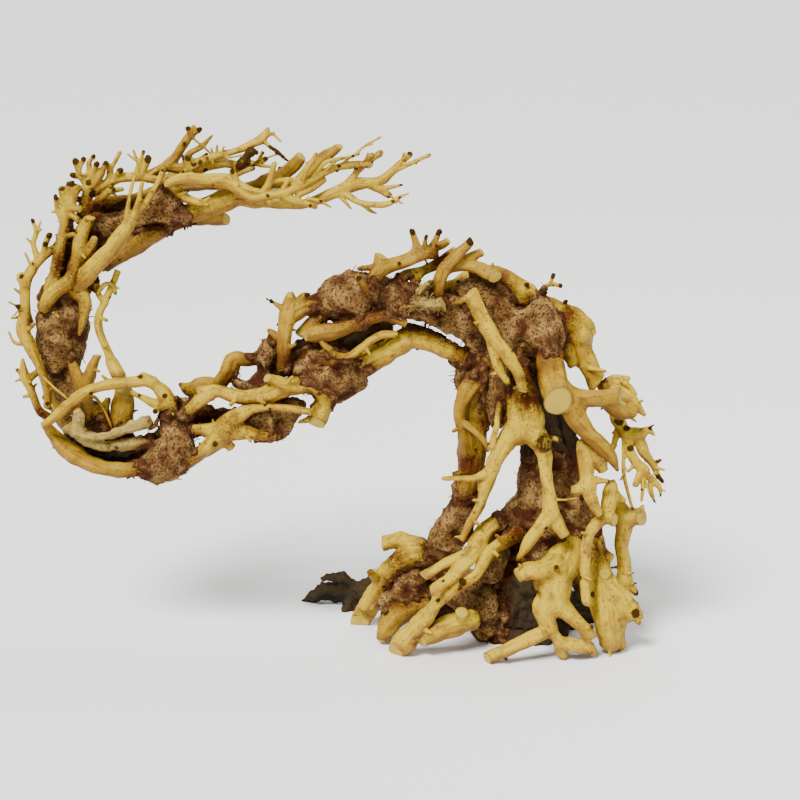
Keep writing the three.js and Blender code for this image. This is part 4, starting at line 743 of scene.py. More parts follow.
# Where the wood is charred, or keeps black bark: across, up, back and the spot's radius. A fifth number is
# how dark the spot is, where it isn't CHAR_DARK.
CHARRED = {
    "horn_top": [[-236, 358, 1, 1.8], [-228, 357.5, 1, 1.6], [-223, 340, 1, 1.2]],
    "twig_crown_right": [
        [-232, 334, -14, 1.8], [-236, 337.5, -16, 1.8], [-227, 334.5, -16, 1.4], [-244, 324.5, -17, 1.6],
        [-229, 324, -18, 1.4], [-201, 331, -10, 3.4], [-197.5, 335, -12, 4.8], [-192, 341, -13, 5],
        [-182, 337, -8, 1.4], [-178, 345, -8, 2.2], [-175, 343, -8, 2.2], [-172, 340.5, -8, 2.2],
        [-169, 338, -8, 2.2], [-166.5, 336, -8, 2], [-223, 328, -9, 1.6], [-208, 319, -12, 1.4],
        [-190, 325, -8, 1.4],
    ],
    "twig_crown_left": [
        [-317, 325.5, -10, 2], [-309, 336.5, -10, 1.8], [-313, 309, -10, 2.2], [-315, 335, -9, 2.2],
        [-299.5, 333.5, -10, 2], [-283, 328.5, -8, 2.4], [-302, 339, -9, 1.6], [-263.5, 338, -7, 2.8],
        [-302, 312, -10, 2.4], [-300, 303, -10, 2.4], [-306, 320, -10, 2],
    ],
    "riser_outer": [
        [-355, 233.5, -18, 1.8], [-333, 283.5, -9, 2.4], [-335, 276, -9, 2], [-345, 294, -9, 1.6],
        [-353, 255, -14, 1.6], [-352, 195, -16, 1.6], [-328, 178, -20, 1.4], [-335, 165, -16, 1.3],
    ],
    "stem_left": [[-339, 227, -18, 2.4], [-328.5, 309, -13, 2], [-317, 320, -13, 2.4], [-324, 317, -9, 2]],
    "riser_inner": [[-300, 253, -8, 2.4]],
    "spray_front": [
        [-205, 328, -19, 1.8], [-189, 304, -24, 1.5], [-177, 304, -24, 1.3], [-180, 310, -24, 1.3],
        [-150, 305, -20, 1.2], [-142, 308, -20, 1.2], [-125, 318, -16, 1.3], [-118, 323, -14, 1.2],
        [-131, 332, -15, 1.2], [-121, 338, -13, 1.1],
    ],
    "spray_tip": [
        [-106, 334, -6, 1.1], [-107, 329, -6, 1.1], [-93, 307, -9, 1.2], [-87, 310, -8, 1.1],
        [-86, 318.5, -6, 1.1],
    ],
    "antler_mid": [[-181, 239, -23, 2.4], [-178, 237, -22, 2], [-152, 242, -19, 1.8]],
    "lower_web": [[-217, 137, -36, 1.6]],
    "arch_limb": [[-270, 185, -28, 1.6], [-252, 170, -28, 1.6], [-263, 163, -28, 1.3],
      [-259, 160, -28, 1.8]],
    "top_limb": [
        [-21.5, 254, -9, 2.8], [28.5, 237, -2, 2.4], [1.5, 248.5, -4, 2], [14.5, 244, -4, 1.8],
        [20, 255.5, -5, 1.8], [26, 248, -6, 1.8],
    ],
    "front_fork": [[15.5, 138, -33, 7.4, 0.82], [-29, 152, -26, 2]],
    "root_right": [[47, 32, -32, 2.4], [78, 18, -27, 3]],
    "webbed_root": [[22, 51, -46, 2], [8.5, 34, -47, 1.6]],
    "root_front_left": [[-43, 41, -41, 2.4], [-61, 27, -44, 1.6]],
    "outer_root_right": [[77, 47, -11, 1.6], [78, 40, -11, 1.8]],
    "twigs_right": [
        [66, 153, 0, 3], [96.5, 111, -3, 1.6], [91, 96.5, -9, 1.4], [87.5, 149, -6, 2.2], [94, 125, -4, 2],
        [95, 113, -4, 2.4], [72, 149, -4, 2.2], [74.5, 134, -9, 2.2], [95, 100.5, -8, 1.6],
    ],
    "antler_top": [[-79, 286, -9, 2.6], [-60, 286, -6, 2.6], [-69, 282.5, -14, 1.8], [-117, 254, -31, 2]],
    "fork_top": [[-37, 280, -14, 3]],
}

# Hollows pressed into the putty: across, up, back and radius.
HOLLOWS = {
    "putty_spine": [[-329, 238, -14, 4.5], [-322, 182, -14, 7], [-316, 212, -14, 4], [-333, 205, -12, 4]],
    "putty_top": [[-297, 272, -8, 8], [-303, 284, -8, 5], [-256, 297, -8, 5]],
    "putty_crown": [[-3, 202, -16, 7], [-21, 229, -8, 5], [-12, 178, -12, 5], [3, 226, -16, 4]],
    "putty_arm": [[-104, 232, -20, 6], [-62, 223, -16, 6], [-43, 200, -8, 5], [-84, 246, -18, 4]],
    "putty_mid": [[-128, 190, -24, 5], [-146, 192, -22, 5]],
    "putty_joint": [[-184, 186, -18, 5], [-170, 152, -22, 5], [-183, 166, -20, 4]],
    "putty_bend": [[-252, 133, -26, 4], [-240, 150, -26, 4.5], [-262, 124, -22, 4]],
    "putty_collar": [[8, 86, -10, 7], [30, 96, -10, 6], [10, 112, -10, 6], [34, 66, -14, 7]],
    "putty_leg": [[-48, 72, 0, 6], [-62, 40, 4, 7], [-36, 40, -4, 8], [-84, 34, 0, 5]],
}

# Thick ends sawn at a slant that faces the eye: the limb's number and the slope.
BEVELLED = {"foot_left": [(0, 2.4)], "root_front_left": [(0, 1.0)], "webbed_root": [(0, 0.6)]}

# Places away from the putty where its glue has stained the wood.
STAINED = [
    [0, 188, -15, 9], [4, 170, -20, 5], [-33, 190, -6, 6], [-40, 122, -4, 3], [-90, 57, 14, 1],
    [-5, 75, -18, 4], [52, 60, -10, 3], [-18, 250, -2, 4], [30, 228, -2, 1], [-320, 262, -14, 5],
    [-300, 300, -10, 5], [-340, 156, -14, 3], [-240, 142, -20, 4], [-206, 150, -28, 1],
    [-168, 196, -20, 2], [-60, 268, -8, 3],
]


# The eye of the front drawing, and its axes.
FORWARD = np.array([0.0, math.cos(VIEW_TILT), -math.sin(VIEW_TILT)])
UPWARD = np.array([0.0, math.sin(VIEW_TILT), math.cos(VIEW_TILT)])
SIDEWAYS = np.array([1.0, 0.0, 0.0])


def view_eye():
    """The eye's place follows from the origin showing at 0 across and 0 up."""
    height = VIEW_UP / (math.cos(VIEW_TILT) - VIEW_UP * math.sin(VIEW_TILT) / VIEW_DISTANCE)
    stretch = 1 + height * math.sin(VIEW_TILT) / VIEW_DISTANCE
    ray = VIEW_DISTANCE * FORWARD - VIEW_ACROSS * SIDEWAYS - VIEW_UP * UPWARD
    return -stretch * ray


EYE = view_eye()


def place(across, up, back):
    """A station's place in space: where its line of sight reaches its depth."""
    ray = VIEW_DISTANCE * FORWARD + (across - VIEW_ACROSS) * SIDEWAYS + (up - VIEW_UP) * UPWARD
    return EYE + ray * (back - EYE[1]) / ray[1]


def ripple(points, wavelength, seed, waves=7):
    """A smooth random pattern between about -1 and 1: a few crossed sine waves."""
    rng = np.random.default_rng(seed)
    directions = rng.normal(size=(waves, 3))
    directions /= np.linalg.norm(directions, axis=1)[:, None]
    lengths = wavelength * rng.uniform(0.7, 1.5, waves)
    phases = rng.uniform(0, 2 * math.pi, waves)
    turns = points @ (directions / lengths[:, None]).T * 2 * math.pi + phases
    return np.sin(turns).sum(axis=1) / math.sqrt(waves)


class Limb:
    """One limb's middle line, with its radii and a frame carried along it without twist. Stain is how dark it
    is, cut says which of its ends are sawn, and tip is whether its far end stands clear."""

    stain = 0.0
    cut = (False, False)
    tip = False

    def __init__(self, stations, seed, wander=0.035):
        points = np.array([[*place(*station[:3]), station[3]] for station in stations])
        padded = np.vstack([2 * points[:1] - points[1:2], points, 2 * points[-1:] - points[-2:-1]])
        rows = []
        for before, start, end, after in zip(padded, padded[1:], padded[2:], padded[3:]):
            count = max(2, round(np.linalg.norm((end - start)[:3]) / SPINE_STEP))
            t = np.arange(count)[:, None] / count
            rows.append(
                start
                + 0.5 * (end - before) * t
                + 0.5 * (2 * before - 5 * start + 4 * end - after) * t**2
                + 0.5 * (3 * start - before - 3 * end + after) * t**3
            )
        line = np.vstack([*rows, points[-1:]])
        self.middle = line[:, :3]
        self.radius = line[:, 3]
        self.follow_line(seed, wander)

    @classmethod
    def straight(cls, start, end, start_radius, end_radius, stain):
        """A short straight limb, such as a knot. Stain is how dark it goes."""
        limb = cls.__new__(cls)
        limb.stain = stain
        limb.middle = np.array([start, (start + end) / 2, end])
        limb.radius = np.array([start_radius, (start_radius + end_radius) / 2, end_radius])
        limb.follow_line(0, 0)
        return limb

    def bevel(self, slope):
        """Turns the saw cut at the far end to the eye."""
        face = self.along[-1] - slope * FORWARD
        self.facing = self.facing[0], face / np.linalg.norm(face)

    def thickened(self, extra):
        """A copy of the limb that is thicker by the length given."""
        limb = copy.copy(self)
        limb.radius = self.radius + extra
        return limb

    def follow_line(self, seed, wander):
        """Lets the middle line wander, and works out the frame along it and the faces of its ends."""
        steps = np.linalg.norm(np.diff(self.middle, axis=0), axis=1)
        self.run = np.concatenate([[0], np.cumsum(steps)])
        # Real roots swell and sway a little between their bends.
        fade = np.minimum(1, np.minimum(self.run, self.run[-1] - self.run) / SWAY_FADE)[:, None]
        track = self.run[:, None] * np.ones(3)
        sway = np.stack([ripple(track, SWAY_LENGTH, seed + axis) for axis in range(3)], axis=1)
        self.middle = self.middle + wander * self.radius[:, None] * sway * fade
        swelling = 1 + wander * ripple(track, SWELL_LENGTH, seed + 3)
        self.radius = np.maximum(self.radius * swelling, THINNEST)
        along = np.gradient(self.middle, axis=0)
        self.along = along / np.linalg.norm(along, axis=1)[:, None]
        normal = np.cross([0.3, 1.0, 0.2], self.along[0])
        normals = []
        for axis in self.along:
            normal = normal - axis * (normal @ axis)
            normal /= np.linalg.norm(normal)
            normals.append(normal)
        self.normal = np.array(normals)
        self.side = np.cross(self.along, self.normal)
        # A saw or a snap leaves an end face that leans a little.
        rng = np.random.default_rng(seed)
        lean = rng.uniform(-END_LEAN, END_LEAN, 4)
        self.facing = (
            -self.along[0] + lean[0] * self.normal[0] + lean[1] * self.side[0] - FACED * FORWARD,
            self.along[-1] + lean[2] * self.normal[-1] + lean[3] * self.side[-1] - FACED * FORWARD,
        )
        self.facing = tuple(face / np.linalg.norm(face) for face in self.facing)


def mark_ends(limbs):
    """Picks the ends that are cut flat: thick ones that stand clear of the piece's other limbs."""
    for limb in limbs:
        cut = []
        for i in (0, -1):
            # A twig beside the end does not count.
            girth = limb.radius[i]
            least = TWIG_SHARE * girth
            others = [other for other in limbs if other is not limb and other.radius.max() > least]
            clear = all(
                (np.linalg.norm(other.middle - limb.middle[i], axis=1) - other.radius).min() > CROWDED * girth
                for other in others
            )
            cut.append(bool(clear and girth > SAWN_FROM))
            if clear and i == -1:
                limb.tip = True
        limb.cut = tuple(cut)


def window(corner, shape, voxel, low, high):
    """The part of a grid between two points in space, as slices and open coordinate axes."""
    first = np.clip(np.floor((low - corner) / voxel).astype(int), 0, shape)
    last = np.clip(np.ceil((high - corner) / voxel).astype(int) + 1, 0, shape)
    slices = tuple(slice(a, b) for a, b in zip(first, last))
    axes = [corner[k] + voxel * np.arange(first[k], last[k], dtype=np.float32) for k in range(3)]
    return slices, (axes[0][:, None, None], axes[1][None, :, None], axes[2][None, None, :])


def limb_field(limb, corner, shape, voxel):
    """The distance from a limb's surface, with its sawn ends cut flat."""
    values = np.full(shape, BAND, np.float32)
    middle, radius = limb.middle, limb.radius
    for start, end, thick, thin in zip(middle, middle[1:], radius, radius[1:]):
        reach = max(thick, thin) + BAND
        slices, (x, y, z) = window(
            corner, shape, voxel, np.minimum(start, end) - reach, np.maximum(start, end) + reach
        )
        step = end - start
        x, y, z = x - start[0], y - start[1], z - start[2]
        share = np.clip((x * step[0] + y * step[1] + z * step[2]) / (step @ step), 0, 1)
        gap = np.sqrt((x - share * step[0]) ** 2 + (y - share * step[1]) ** 2 + (z - share * step[2]) ** 2)
        part = values[slices]
        np.minimum(part, gap - (thick + share * (thin - thick)), out=part)
    for i, outward, cut in ((0, limb.facing[0], limb.cut[0]), (-1, limb.facing[1], limb.cut[1])):
        if not cut:
            continue
        reach = 1.3 * radius[i] + BAND
        slices, (x, y, z) = window(corner, shape, voxel, middle[i] - reach, middle[i] + reach)
        end = middle[i]
        plane = (x - end[0]) * outward[0] + (y - end[1]) * outward[1] + (z - end[2]) * outward[2]
        part = values[slices]
        np.maximum(part, np.minimum(plane, BAND), out=part)
    return values


def melt(first, second, blend):
    """Joins two fields with a fillet about as wide as blend."""
    share = np.clip(0.5 + 0.5 * (first - second) / blend, 0, 1)
    return second * share + first * (1 - share) - blend * share * (1 - share)


def fillet(limb, webbing):
    """How far a limb melts into those before it: thin twigs stand crisply on their branch."""
    thick = float(limb.radius[0])
    return min(BAND, webbing * thick * min(1.0, thick / 4) + 0.3)


def join_fields(limbs, low, shape, voxel, blend_of):
    """The distance field of several limbs, each melted into those before it."""
    field = np.full(shape, BAND, np.float32)
    high = low + voxel * shape
    for limb in limbs:
        reach = limb.radius.max() + BAND
        nearest, furthest = limb.middle.min(axis=0) - reach, limb.middle.max(axis=0) + reach
        if np.any(nearest > high) or np.any(furthest < low):
            continue
        slices, _ = window(low, shape, voxel, nearest, furthest)
        corner = low + voxel * np.array([part.start for part in slices])
        part = field[slices]
        own = limb_field(limb, corner, np.array(part.shape), voxel)
        part[...] = melt(part, own, blend_of(limb))
    return field


def crust(limbs, wood, low, shape, voxel, seed):
    """Where putty is smeared thinly over the wood round a lump. Its edge is ragged by a few mm, in tongues
    and small teeth."""
    wide = [limb.thickened(SMEAR_REACH) for limb in limbs]
    near = join_fields(wide, low, shape, voxel, lambda limb: 1.0)
    over = join_fields(wood, low, shape, voxel, lambda limb: 1.0) - SMEAR
    x, y, z = [low[k] + voxel * np.arange(shape[k], dtype=np.float32) for k in range(3)]
    spots = np.stack(np.meshgrid(x, y, z, indexing="ij"), axis=-1).reshape(-1, 3)
    (tongue, wide), (tooth, narrow) = SMEAR_EDGE
    ragged = (tongue * ripple(spots, wide, seed) + tooth * ripple(spots, narrow, seed + 1)).reshape(shape)
    return np.maximum(over, near + ragged)


def skin(limbs, voxel, webbing, wood=(), seed=0):
    """The joined limbs' surface on the ground, smeared over the wood given, as points in mm and quads."""
    low = np.min([(limb.middle - limb.radius[:, None]).min(axis=0) for limb in limbs], axis=0) - BAND
    high = np.max([(limb.middle + limb.radius[:, None]).max(axis=0) for limb in limbs], axis=0) + BAND
    if wood:
        low, high = low - SMEAR_REACH, high + SMEAR_REACH
    shape = np.ceil((high - low) / voxel).astype(int) + 2
    field = join_fields(limbs, low, shape, voxel, lambda limb: fillet(limb, webbing))
    if wood:
        field = np.minimum(field, crust(limbs, wood, low, shape, voxel, seed))
    ground = -(low[2] + voxel * np.arange(shape[2], dtype=np.float32))
    np.maximum(field, ground[None, None, :], out=field)
    grid = openvdb.FloatGrid(BAND)
    grid.copyFromArray(np.ascontiguousarray(field))
    points, quads = grid.convertToQuads(0.0)
    return low + voxel * np.asarray(points, dtype=np.float64), np.asarray(quads)


def outward_normals(points, quads):
    """Each point's normal, and the quads turned so that they face outwards."""
    corner = points[quads]
    face = np.cross(corner[:, 2] - corner[:, 0], corner[:, 3] - corner[:, 1])
    if np.einsum("ij,ij->", corner[:, 0], face) < 0:
        quads, face = quads[:, ::-1], -face
    normals = np.stack(
        [np.bincount(quads.ravel(), np.repeat(face[:, k], 4), len(points)) for k in range(3)], axis=1
    )
    return normals / np.maximum(np.linalg.norm(normals, axis=1), 1e-9)[:, None], quads


def knots_on(limbs, spacing, rng):
    """Rings where rootlets snapped off the limbs, and the dark swollen ends of twigs."""
    knots = []
    for limb in limbs:
        thick = limb.radius.max()
        gap = spacing * (1 + thick / 8)
        at = rng.uniform(*FIRST_KNOT) * gap
        while thick > KNOTTED_FROM and at < limb.run[-1] - BARE_END:
            i = int(np.searchsorted(limb.run, at))
            angle = rng.uniform(0, 2 * math.pi)
            out = math.cos(angle) * limb.normal[i] + math.sin(angle) * limb.side[i]
            out = out + rng.uniform(-0.5, 0.5) * limb.along[i]
            girth = limb.radius[i]
            wide = min(rng.uniform(*KNOT_WIDTH), 0.4 * girth)
            tall = girth + rng.uniform(*KNOT_RISE) * wide
            stain = rng.uniform(0.6, 1.0)
            if rng.random() < THORNY:
                wide, tall, stain = THINNEST, girth + rng.uniform(*THORN_LENGTH), rng.uniform(0, 0.8)
            start, end = limb.middle[i] + 0.5 * girth * out, limb.middle[i] + tall * out
            knots.append(Limb.straight(start, end, 1.7 * wide, wide, stain))
            at += rng.uniform(*NEXT_KNOT) * gap
        end = limb.radius[-1]
        if limb.tip and not limb.cut[1] and 0.95 < end and rng.random() < SWOLLEN:
            tip = limb.middle[-1] + rng.uniform(-0.3, 0.3) * end * limb.normal[-1]
            swollen = min(1.2 * end, end + 0.4)
            start = tip - 0.9 * end * limb.along[-1]
            knots.append(Limb.straight(start, tip, swollen, 0.85 * swollen, rng.uniform(0.5, 0.95)))
    return knots


def gaps_to(points, middle, radius):
    """How far each point is from the surface round each point of some middle lines."""
    squared = (points**2).sum(axis=1)[:, None] + (middle**2).sum(axis=1) - 2 * points @ middle.T
    return np.sqrt(np.maximum(squared, 0)) - radius


def read_limbs(points, limbs):
    """For each point: its place across and along the grain of the limb that it is on, the limb's girth, how
    clear it is of other limbs, and how near a sawn end. The points are taken in blocks, to save memory."""
    middle = np.vstack([limb.middle for limb in limbs])
    radius = np.concatenate([limb.radius for limb in limbs])
    normal = np.vstack([limb.normal for limb in limbs])
    side = np.vstack([limb.side for limb in limbs])
    run = np.concatenate([limb.run + APART * i for i, limb in enumerate(limbs)])
    counts = [len(limb.radius) for limb in limbs]
    owner = np.repeat(np.arange(len(limbs)), counts)
    starts = np.concatenate([[0], np.cumsum(counts)[:-1]])
    nearest = np.empty(len(points), int)
    clear = np.ones(len(points))
    for start in range(0, len(points), BLOCK):
        block = points[start : start + BLOCK]
        gaps = gaps_to(block, middle, radius)
        nearest[start : start + BLOCK] = gaps.argmin(axis=1)
        if len(limbs) > 1:
            two = np.partition(np.minimum.reduceat(gaps, starts, axis=1), 1, axis=1)
            clear[start : start + BLOCK] = np.clip((two[:, 1] - two[:, 0]) / CLEAR_FROM, 0, 1)
    away = points - middle[nearest]
    along = np.vstack([limb.along for limb in limbs])[nearest]
    grain = np.stack(
        [
            np.einsum("ij,ij->i", away, normal[nearest]),
            np.einsum("ij,ij->i", away, side[nearest]),
            run[nearest] + np.einsum("ij,ij->i", away, along),
        ],
        axis=1,
    )
    sawn = np.zeros(len(points))
    for which, i in ((0, 0), (1, -1)):
        ends = np.array([limb.middle[i] for limb in limbs])[owner[nearest]]
        facing = np.array([limb.facing[which] for limb in limbs])[owner[nearest]]
        wide = np.array([limb.radius[i] * limb.cut[which] for limb in limbs])[owner[nearest]]
        offset = points - ends
        inward = -np.einsum("ij,ij->i", offset, facing)
        beside = np.linalg.norm(offset, axis=1) < 1.4 * wide
        sawn = np.maximum(sawn, np.clip(1.6 - inward / CUT_EDGE, 0, 1) * beside)
    return grain, radius[nearest], clear, sawn


def seen_at(points, spot):
    """The point of a surface that shows at a spot of the drawing."""
    ray = place(*spot[:3]) - EYE
    ray /= np.linalg.norm(ray)
    depth = (points - EYE) @ ray
    aside = np.linalg.norm(points - EYE - depth[:, None] * ray, axis=1)
    return points[np.argmin(depth + 20 * np.maximum(aside - 1, 0))]


def stains_on(points, name, limbs):
    """How dark each point goes: round the knots, and where the wood is charred or holds bark."""
    dark = np.zeros(len(points))
    spots = [(limb.middle[-1], limb.radius[-1], limb.stain) for limb in limbs if limb.stain]
    for spot in CHARRED.get(name, []):
        dark_to = spot[4] if len(spot) > 4 else CHAR_DARK
        spots.append((seen_at(points, spot), 0.8 * spot[3], dark_to))
    for centre, reach, strength in spots:
        gap = np.linalg.norm(points - centre, axis=1) / reach
        ring = 0.6 + 0.4 * np.clip(gap, 0, 1) ** 2
        dark = np.maximum(dark, strength * ring * np.clip((SPOT_END - gap) / SPOT_FADE, 0, 1))
    return np.minimum(dark, 1)


def new_mesh(name, points, quads, values, kept):
    """A closed mesh object in metres, with its patterns' coordinates kept as attributes, and then the given
    share of its triangles, fewest where it is flat."""
    mesh = bpy.data.meshes.new(name)
    mesh.vertices.add(len(points))
    mesh.vertices.foreach_set("co", (points * MM).astype(np.float32).ravel())
    mesh.loops.add(quads.size)
    mesh.loops.foreach_set("vertex_index", quads.astype(np.int32).ravel())
    mesh.polygons.add(len(quads))
    mesh.polygons.foreach_set("loop_start", np.arange(0, quads.size, 4, dtype=np.int32))
    mesh.polygons.foreach_set("use_smooth", np.ones(len(quads), dtype=bool))
    mesh.update(calc_edges=True)
    for key, value in values.items():
        vector = value.ndim == 2
        attribute = mesh.attributes.new(key, "FLOAT_VECTOR" if vector else "FLOAT", "POINT")
        attribute.data.foreach_set("vector" if vector else "value", value.astype(np.float32).ravel())
    piece = bpy.data.objects.new(name, mesh)
    bpy.context.collection.objects.link(piece)
    modifier = piece.modifiers.new("Fewer triangles", "DECIMATE")
    modifier.ratio = kept
    return made_plain(piece)


def made_plain(piece):
    """Gives the piece the mesh that its modifiers make of it."""
    piece.update_tag()
    bpy.context.view_layer.update()
    evaluated = piece.evaluated_get(bpy.context.evaluated_depsgraph_get())
    mesh = bpy.data.meshes.new_from_object(evaluated)
    piece.modifiers.clear()
    piece.data = mesh
    return piece


def finished(piece, node, material):
    """Gives a piece its material and its place in the frame."""
    if not piece.data.materials:
        piece.data.materials.append(material)
    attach(piece, "root")
    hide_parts(node)


def wood_relief(points, grain, girth, clear, sawn, seed, rugged, furrow_depth):
    """How far the wood stands out, in mm: flutes and furrows along the grain, and soft lumps, all less on
    thin limbs. A limb's flank is fluted and furrowed, and a sawn face isn't."""
    flank = (1 - sawn) * clear
    around, along = np.arctan2(grain[:, 1], grain[:, 0]), grain[:, 2]
    flutes = FLUTE_DEPTH * np.sin(2 * around + along / FLUTE_TURN + seed)
    flutes += GROOVE_DEPTH * (0.6 - np.abs(np.sin(1.5 * around - along / GROOVE_TURN + 2 * seed)))
    relief = flutes * np.minimum(girth, FLUTED_TO) * flank
    # Soft lumps about 17 mm apart, and up to 0.5 mm high.
    relief += ripple(points, 17, seed) * np.minimum(0.06 * girth, 0.5) * (1 - sawn)
    # Furrows are about 4.5 mm apart and ten times as long, and flat between.
    furrows = ripple(grain * [1 / 4.5, 1 / 4.5, 1 / 45], 1, seed + 1, 9)
    furrows = np.minimum(furrows, 0.4) * furrow_depth / MM * np.clip(girth / 6, 0.2, 1.5)
    relief += furrows * rugged * flank
    # Dents about 7.5 mm apart, and up to 0.22 mm deep.
    relief += ripple(points, 7.5, seed + 5) * np.minimum(0.03 * girth, 0.22) * (1 - sawn)
    if rugged > 1:
        # Bark and weathered wood are knobbly too, in three sizes.
        relief += rugged * (0.2 * ripple(points, 13, seed + 9) + 0.2 * ripple(points, 6, seed + 3))
        relief += rugged * 0.1 * ripple(points, 3.2, seed + 4)
    return relief


def cracks_on(points, grain, seed):
    """Where the weathered wood is cracked, from 0 to 1: lines along the grain, in patches."""
    cracks = np.abs(ripple(grain * [1, 1, 0.6], 13, seed + 6))
    return np.clip(1 - cracks / 0.16, 0, 1) * (ripple(points, 30, seed + 12) > -0.2)


def on_ground(points, moved):
    """Keeps what stands on the ground flat, and the rest above it."""
    flat, free = np.maximum(points[:, 2], 0), np.maximum(moved[:, 2], 0)
    moved[:, 2] = np.where(points[:, 2] < GROUNDED, flat, free)
    return moved


def wood_piece(name, finish, limb_lists, sizes):
    """One piece of root: its limbs webbed together, knotted, fluted along the grain, and its ends sawn."""
    seed = sum(map(ord, name))
    rng = np.random.default_rng(seed)
    limb_lists = limb_lists + TWIGS.get(name, [])
    limbs = [Limb(stations, seed + 11 * i) for i, stations in enumerate(limb_lists)]
    for limb in limbs:
        share = np.clip(SLENDER + (1 - SLENDER) * limb.radius / FULL_FROM, 0, 1)
        limb.radius = np.maximum(share * limb.radius, THINNEST)
    for number, slope in BEVELLED.get(name, []):
        limbs[number].bevel(slope)
    mark_ends(limbs)
    thin = min(limb.radius.min() for limb in limbs) < TWIGGY
    if finish != "dark":
        limbs += knots_on(limbs, sizes.knot_spacing / MM, rng)
    voxel = sizes.fine_voxel / MM if thin else sizes.coarse_voxel / MM
    if name == "base_stump":
        voxel = sizes.stump_voxel / MM
    points, quads = skin(limbs, voxel, sizes.webbing)
    normals, quads = outward_normals(points, quads)
    grain, girth, clear, sawn = read_limbs(points, limbs)
    relief = wood_relief(
        points, grain, girth, clear, sawn, seed, ROUGH_FINISH[finish], sizes.furrow_depth
    )
    burnt = stains_on(points, name, limbs)
    if finish == "grey":
        cracks = cracks_on(points, grain, seed)
        burnt = np.maximum(burnt, 0.55 * cracks)
        relief -= 0.3 * cracks
    # Bark and snapped ends are rough.
    relief += burnt * (0.3 * ripple(points, 2.6, seed + 7) + 0.15 * ripple(points, 1.5, seed + 8))
    moved = on_ground(points, points + normals * relief[:, None])
    # Painted light: pale above and in front, and golden below as painted shade.
    toplit = 0.5 + 0.5 * normals[:, 2] - 0.15 * normals[:, 1]
    values = {"grain": grain, "girth": girth, "sawn": sawn * (1 - burnt), "burnt": burnt, "toplit": toplit}
    return new_mesh(name, moved, quads, values, sizes.kept)


def putty_piece(name, limb_lists, wood, sizes):
    """One lump of putty, pressed on by hand: soft, with a crumbly skin, and smeared over the wood by it."""
    seed = sum(map(ord, name))
    limbs = [Limb(stations, seed + 11 * i, wander=0.05) for i, stations in enumerate(limb_lists)]
    points, quads = skin(limbs, sizes.putty_voxel / MM, 1.0, wood, seed)
    normals, quads = outward_normals(points, quads)
    # Ridges between pressed hollows, and grit.
    rough = 0
    for i, (apart, height) in enumerate(PUTTY_RIDGES):
        rough = rough + height * (0.6 - np.abs(ripple(points, apart, seed + i)))
    rough += PUTTY_GRIT[1] * ripple(points, PUTTY_GRIT[0], seed + len(PUTTY_RIDGES))
    for spot in HOLLOWS.get(name, []):
        gap = np.linalg.norm(points - seen_at(points, spot), axis=1) / spot[3]
        rough -= HOLLOW_DEPTH * spot[3] * np.exp(-(gap**3)) * (1 + 0.4 * ripple(points, 5, seed + 3))
    # Painted light: high on ridges and where the putty faces up, low in hollows and underneath.
    raised_and_toplit = np.clip(0.5 + 0.35 * rough + 0.25 * normals[:, 2], 0, 1)
    moved = on_ground(points, points + normals * (rough * sizes.putty_lumps)[:, None])
    return new_mesh(name, moved, quads, {"raised_and_toplit": raised_and_toplit}, sizes.kept)


def soil_on(piece, spines):
    """Stores how stained or shaded each point of a piece is from what it touches: the putty stains the wood
    with glue, and other wood paints shade in the crevice beside it.
    spines holds, for the putty and for the other wood, a middle line's points, their radii and how far from
    them the stain or shade reaches."""
    points = np.empty(len(piece.data.vertices) * 3, np.float32)
    piece.data.vertices.foreach_get("co", points)
    points = points.reshape(-1, 3) / MM
    low, high = points.min(axis=0) - STAIN_FROM, points.max(axis=0) + STAIN_FROM
    for label, middle, radius, reach in spines:
        near = np.all((middle > low) & (middle < high), axis=1)
        middle, radius = middle[near].astype(np.float32), radius[near].astype(np.float32)
        depth = np.full(len(points), reach, np.float32)
        for start in range(0, len(points) if len(middle) else 0, BLOCK):
            block = points[start : start + BLOCK]
            depth[start : start + BLOCK] = gaps_to(block, middle, radius).min(axis=1)
        share = np.clip(1 - depth / reach, 0, 1)
        piece.data.attributes.new(label, "FLOAT", "POINT").data.foreach_set("value", share)


def node(tree, kind, inputs=None, **settings):
    """Adds a node with its settings, and fills its inputs with values or links."""
    made = tree.nodes.new(kind)
    for key, value in settings.items():
        setattr(made, key, value)
    for key, value in (inputs or {}).items():
        if isinstance(value, bpy.types.NodeSocket):
            tree.links.new(value, made.inputs[key])
        else:
            made.inputs[key].default_value = value
    return made


def linear(code):
    """An sRGB hex colour as linear RGBA."""
    parts = [int(code[i : i + 2], 16) / 255 for i in (1, 3, 5)]
    return (*[c / 12.92 if c <= 0.04045 else ((c + 0.055) / 1.055) ** 2.4 for c in parts], 1.0)


def new_material(name, roughness, specular):
    """A material with only its shader and output, and the tree to build it in."""
    material = bpy.data.materials.new(name)
    material.use_nodes = True
    tree = material.node_tree
    tree.nodes.clear()
    shader = node(tree, "ShaderNodeBsdfPrincipled", {"Roughness": roughness, "Specular IOR Level": specular})
    node(tree, "ShaderNodeOutputMaterial", {"Surface": shader.outputs[0]})
    return material, tree, shader


def millimetres(tree):
    """A point's place on the finished piece, in mm."""
    place = node(tree, "ShaderNodeTexCoord").outputs["Object"]
    return node(tree, "ShaderNodeVectorMath", {0: place, "Scale": 1 / MM}, operation="SCALE").outputs[0]


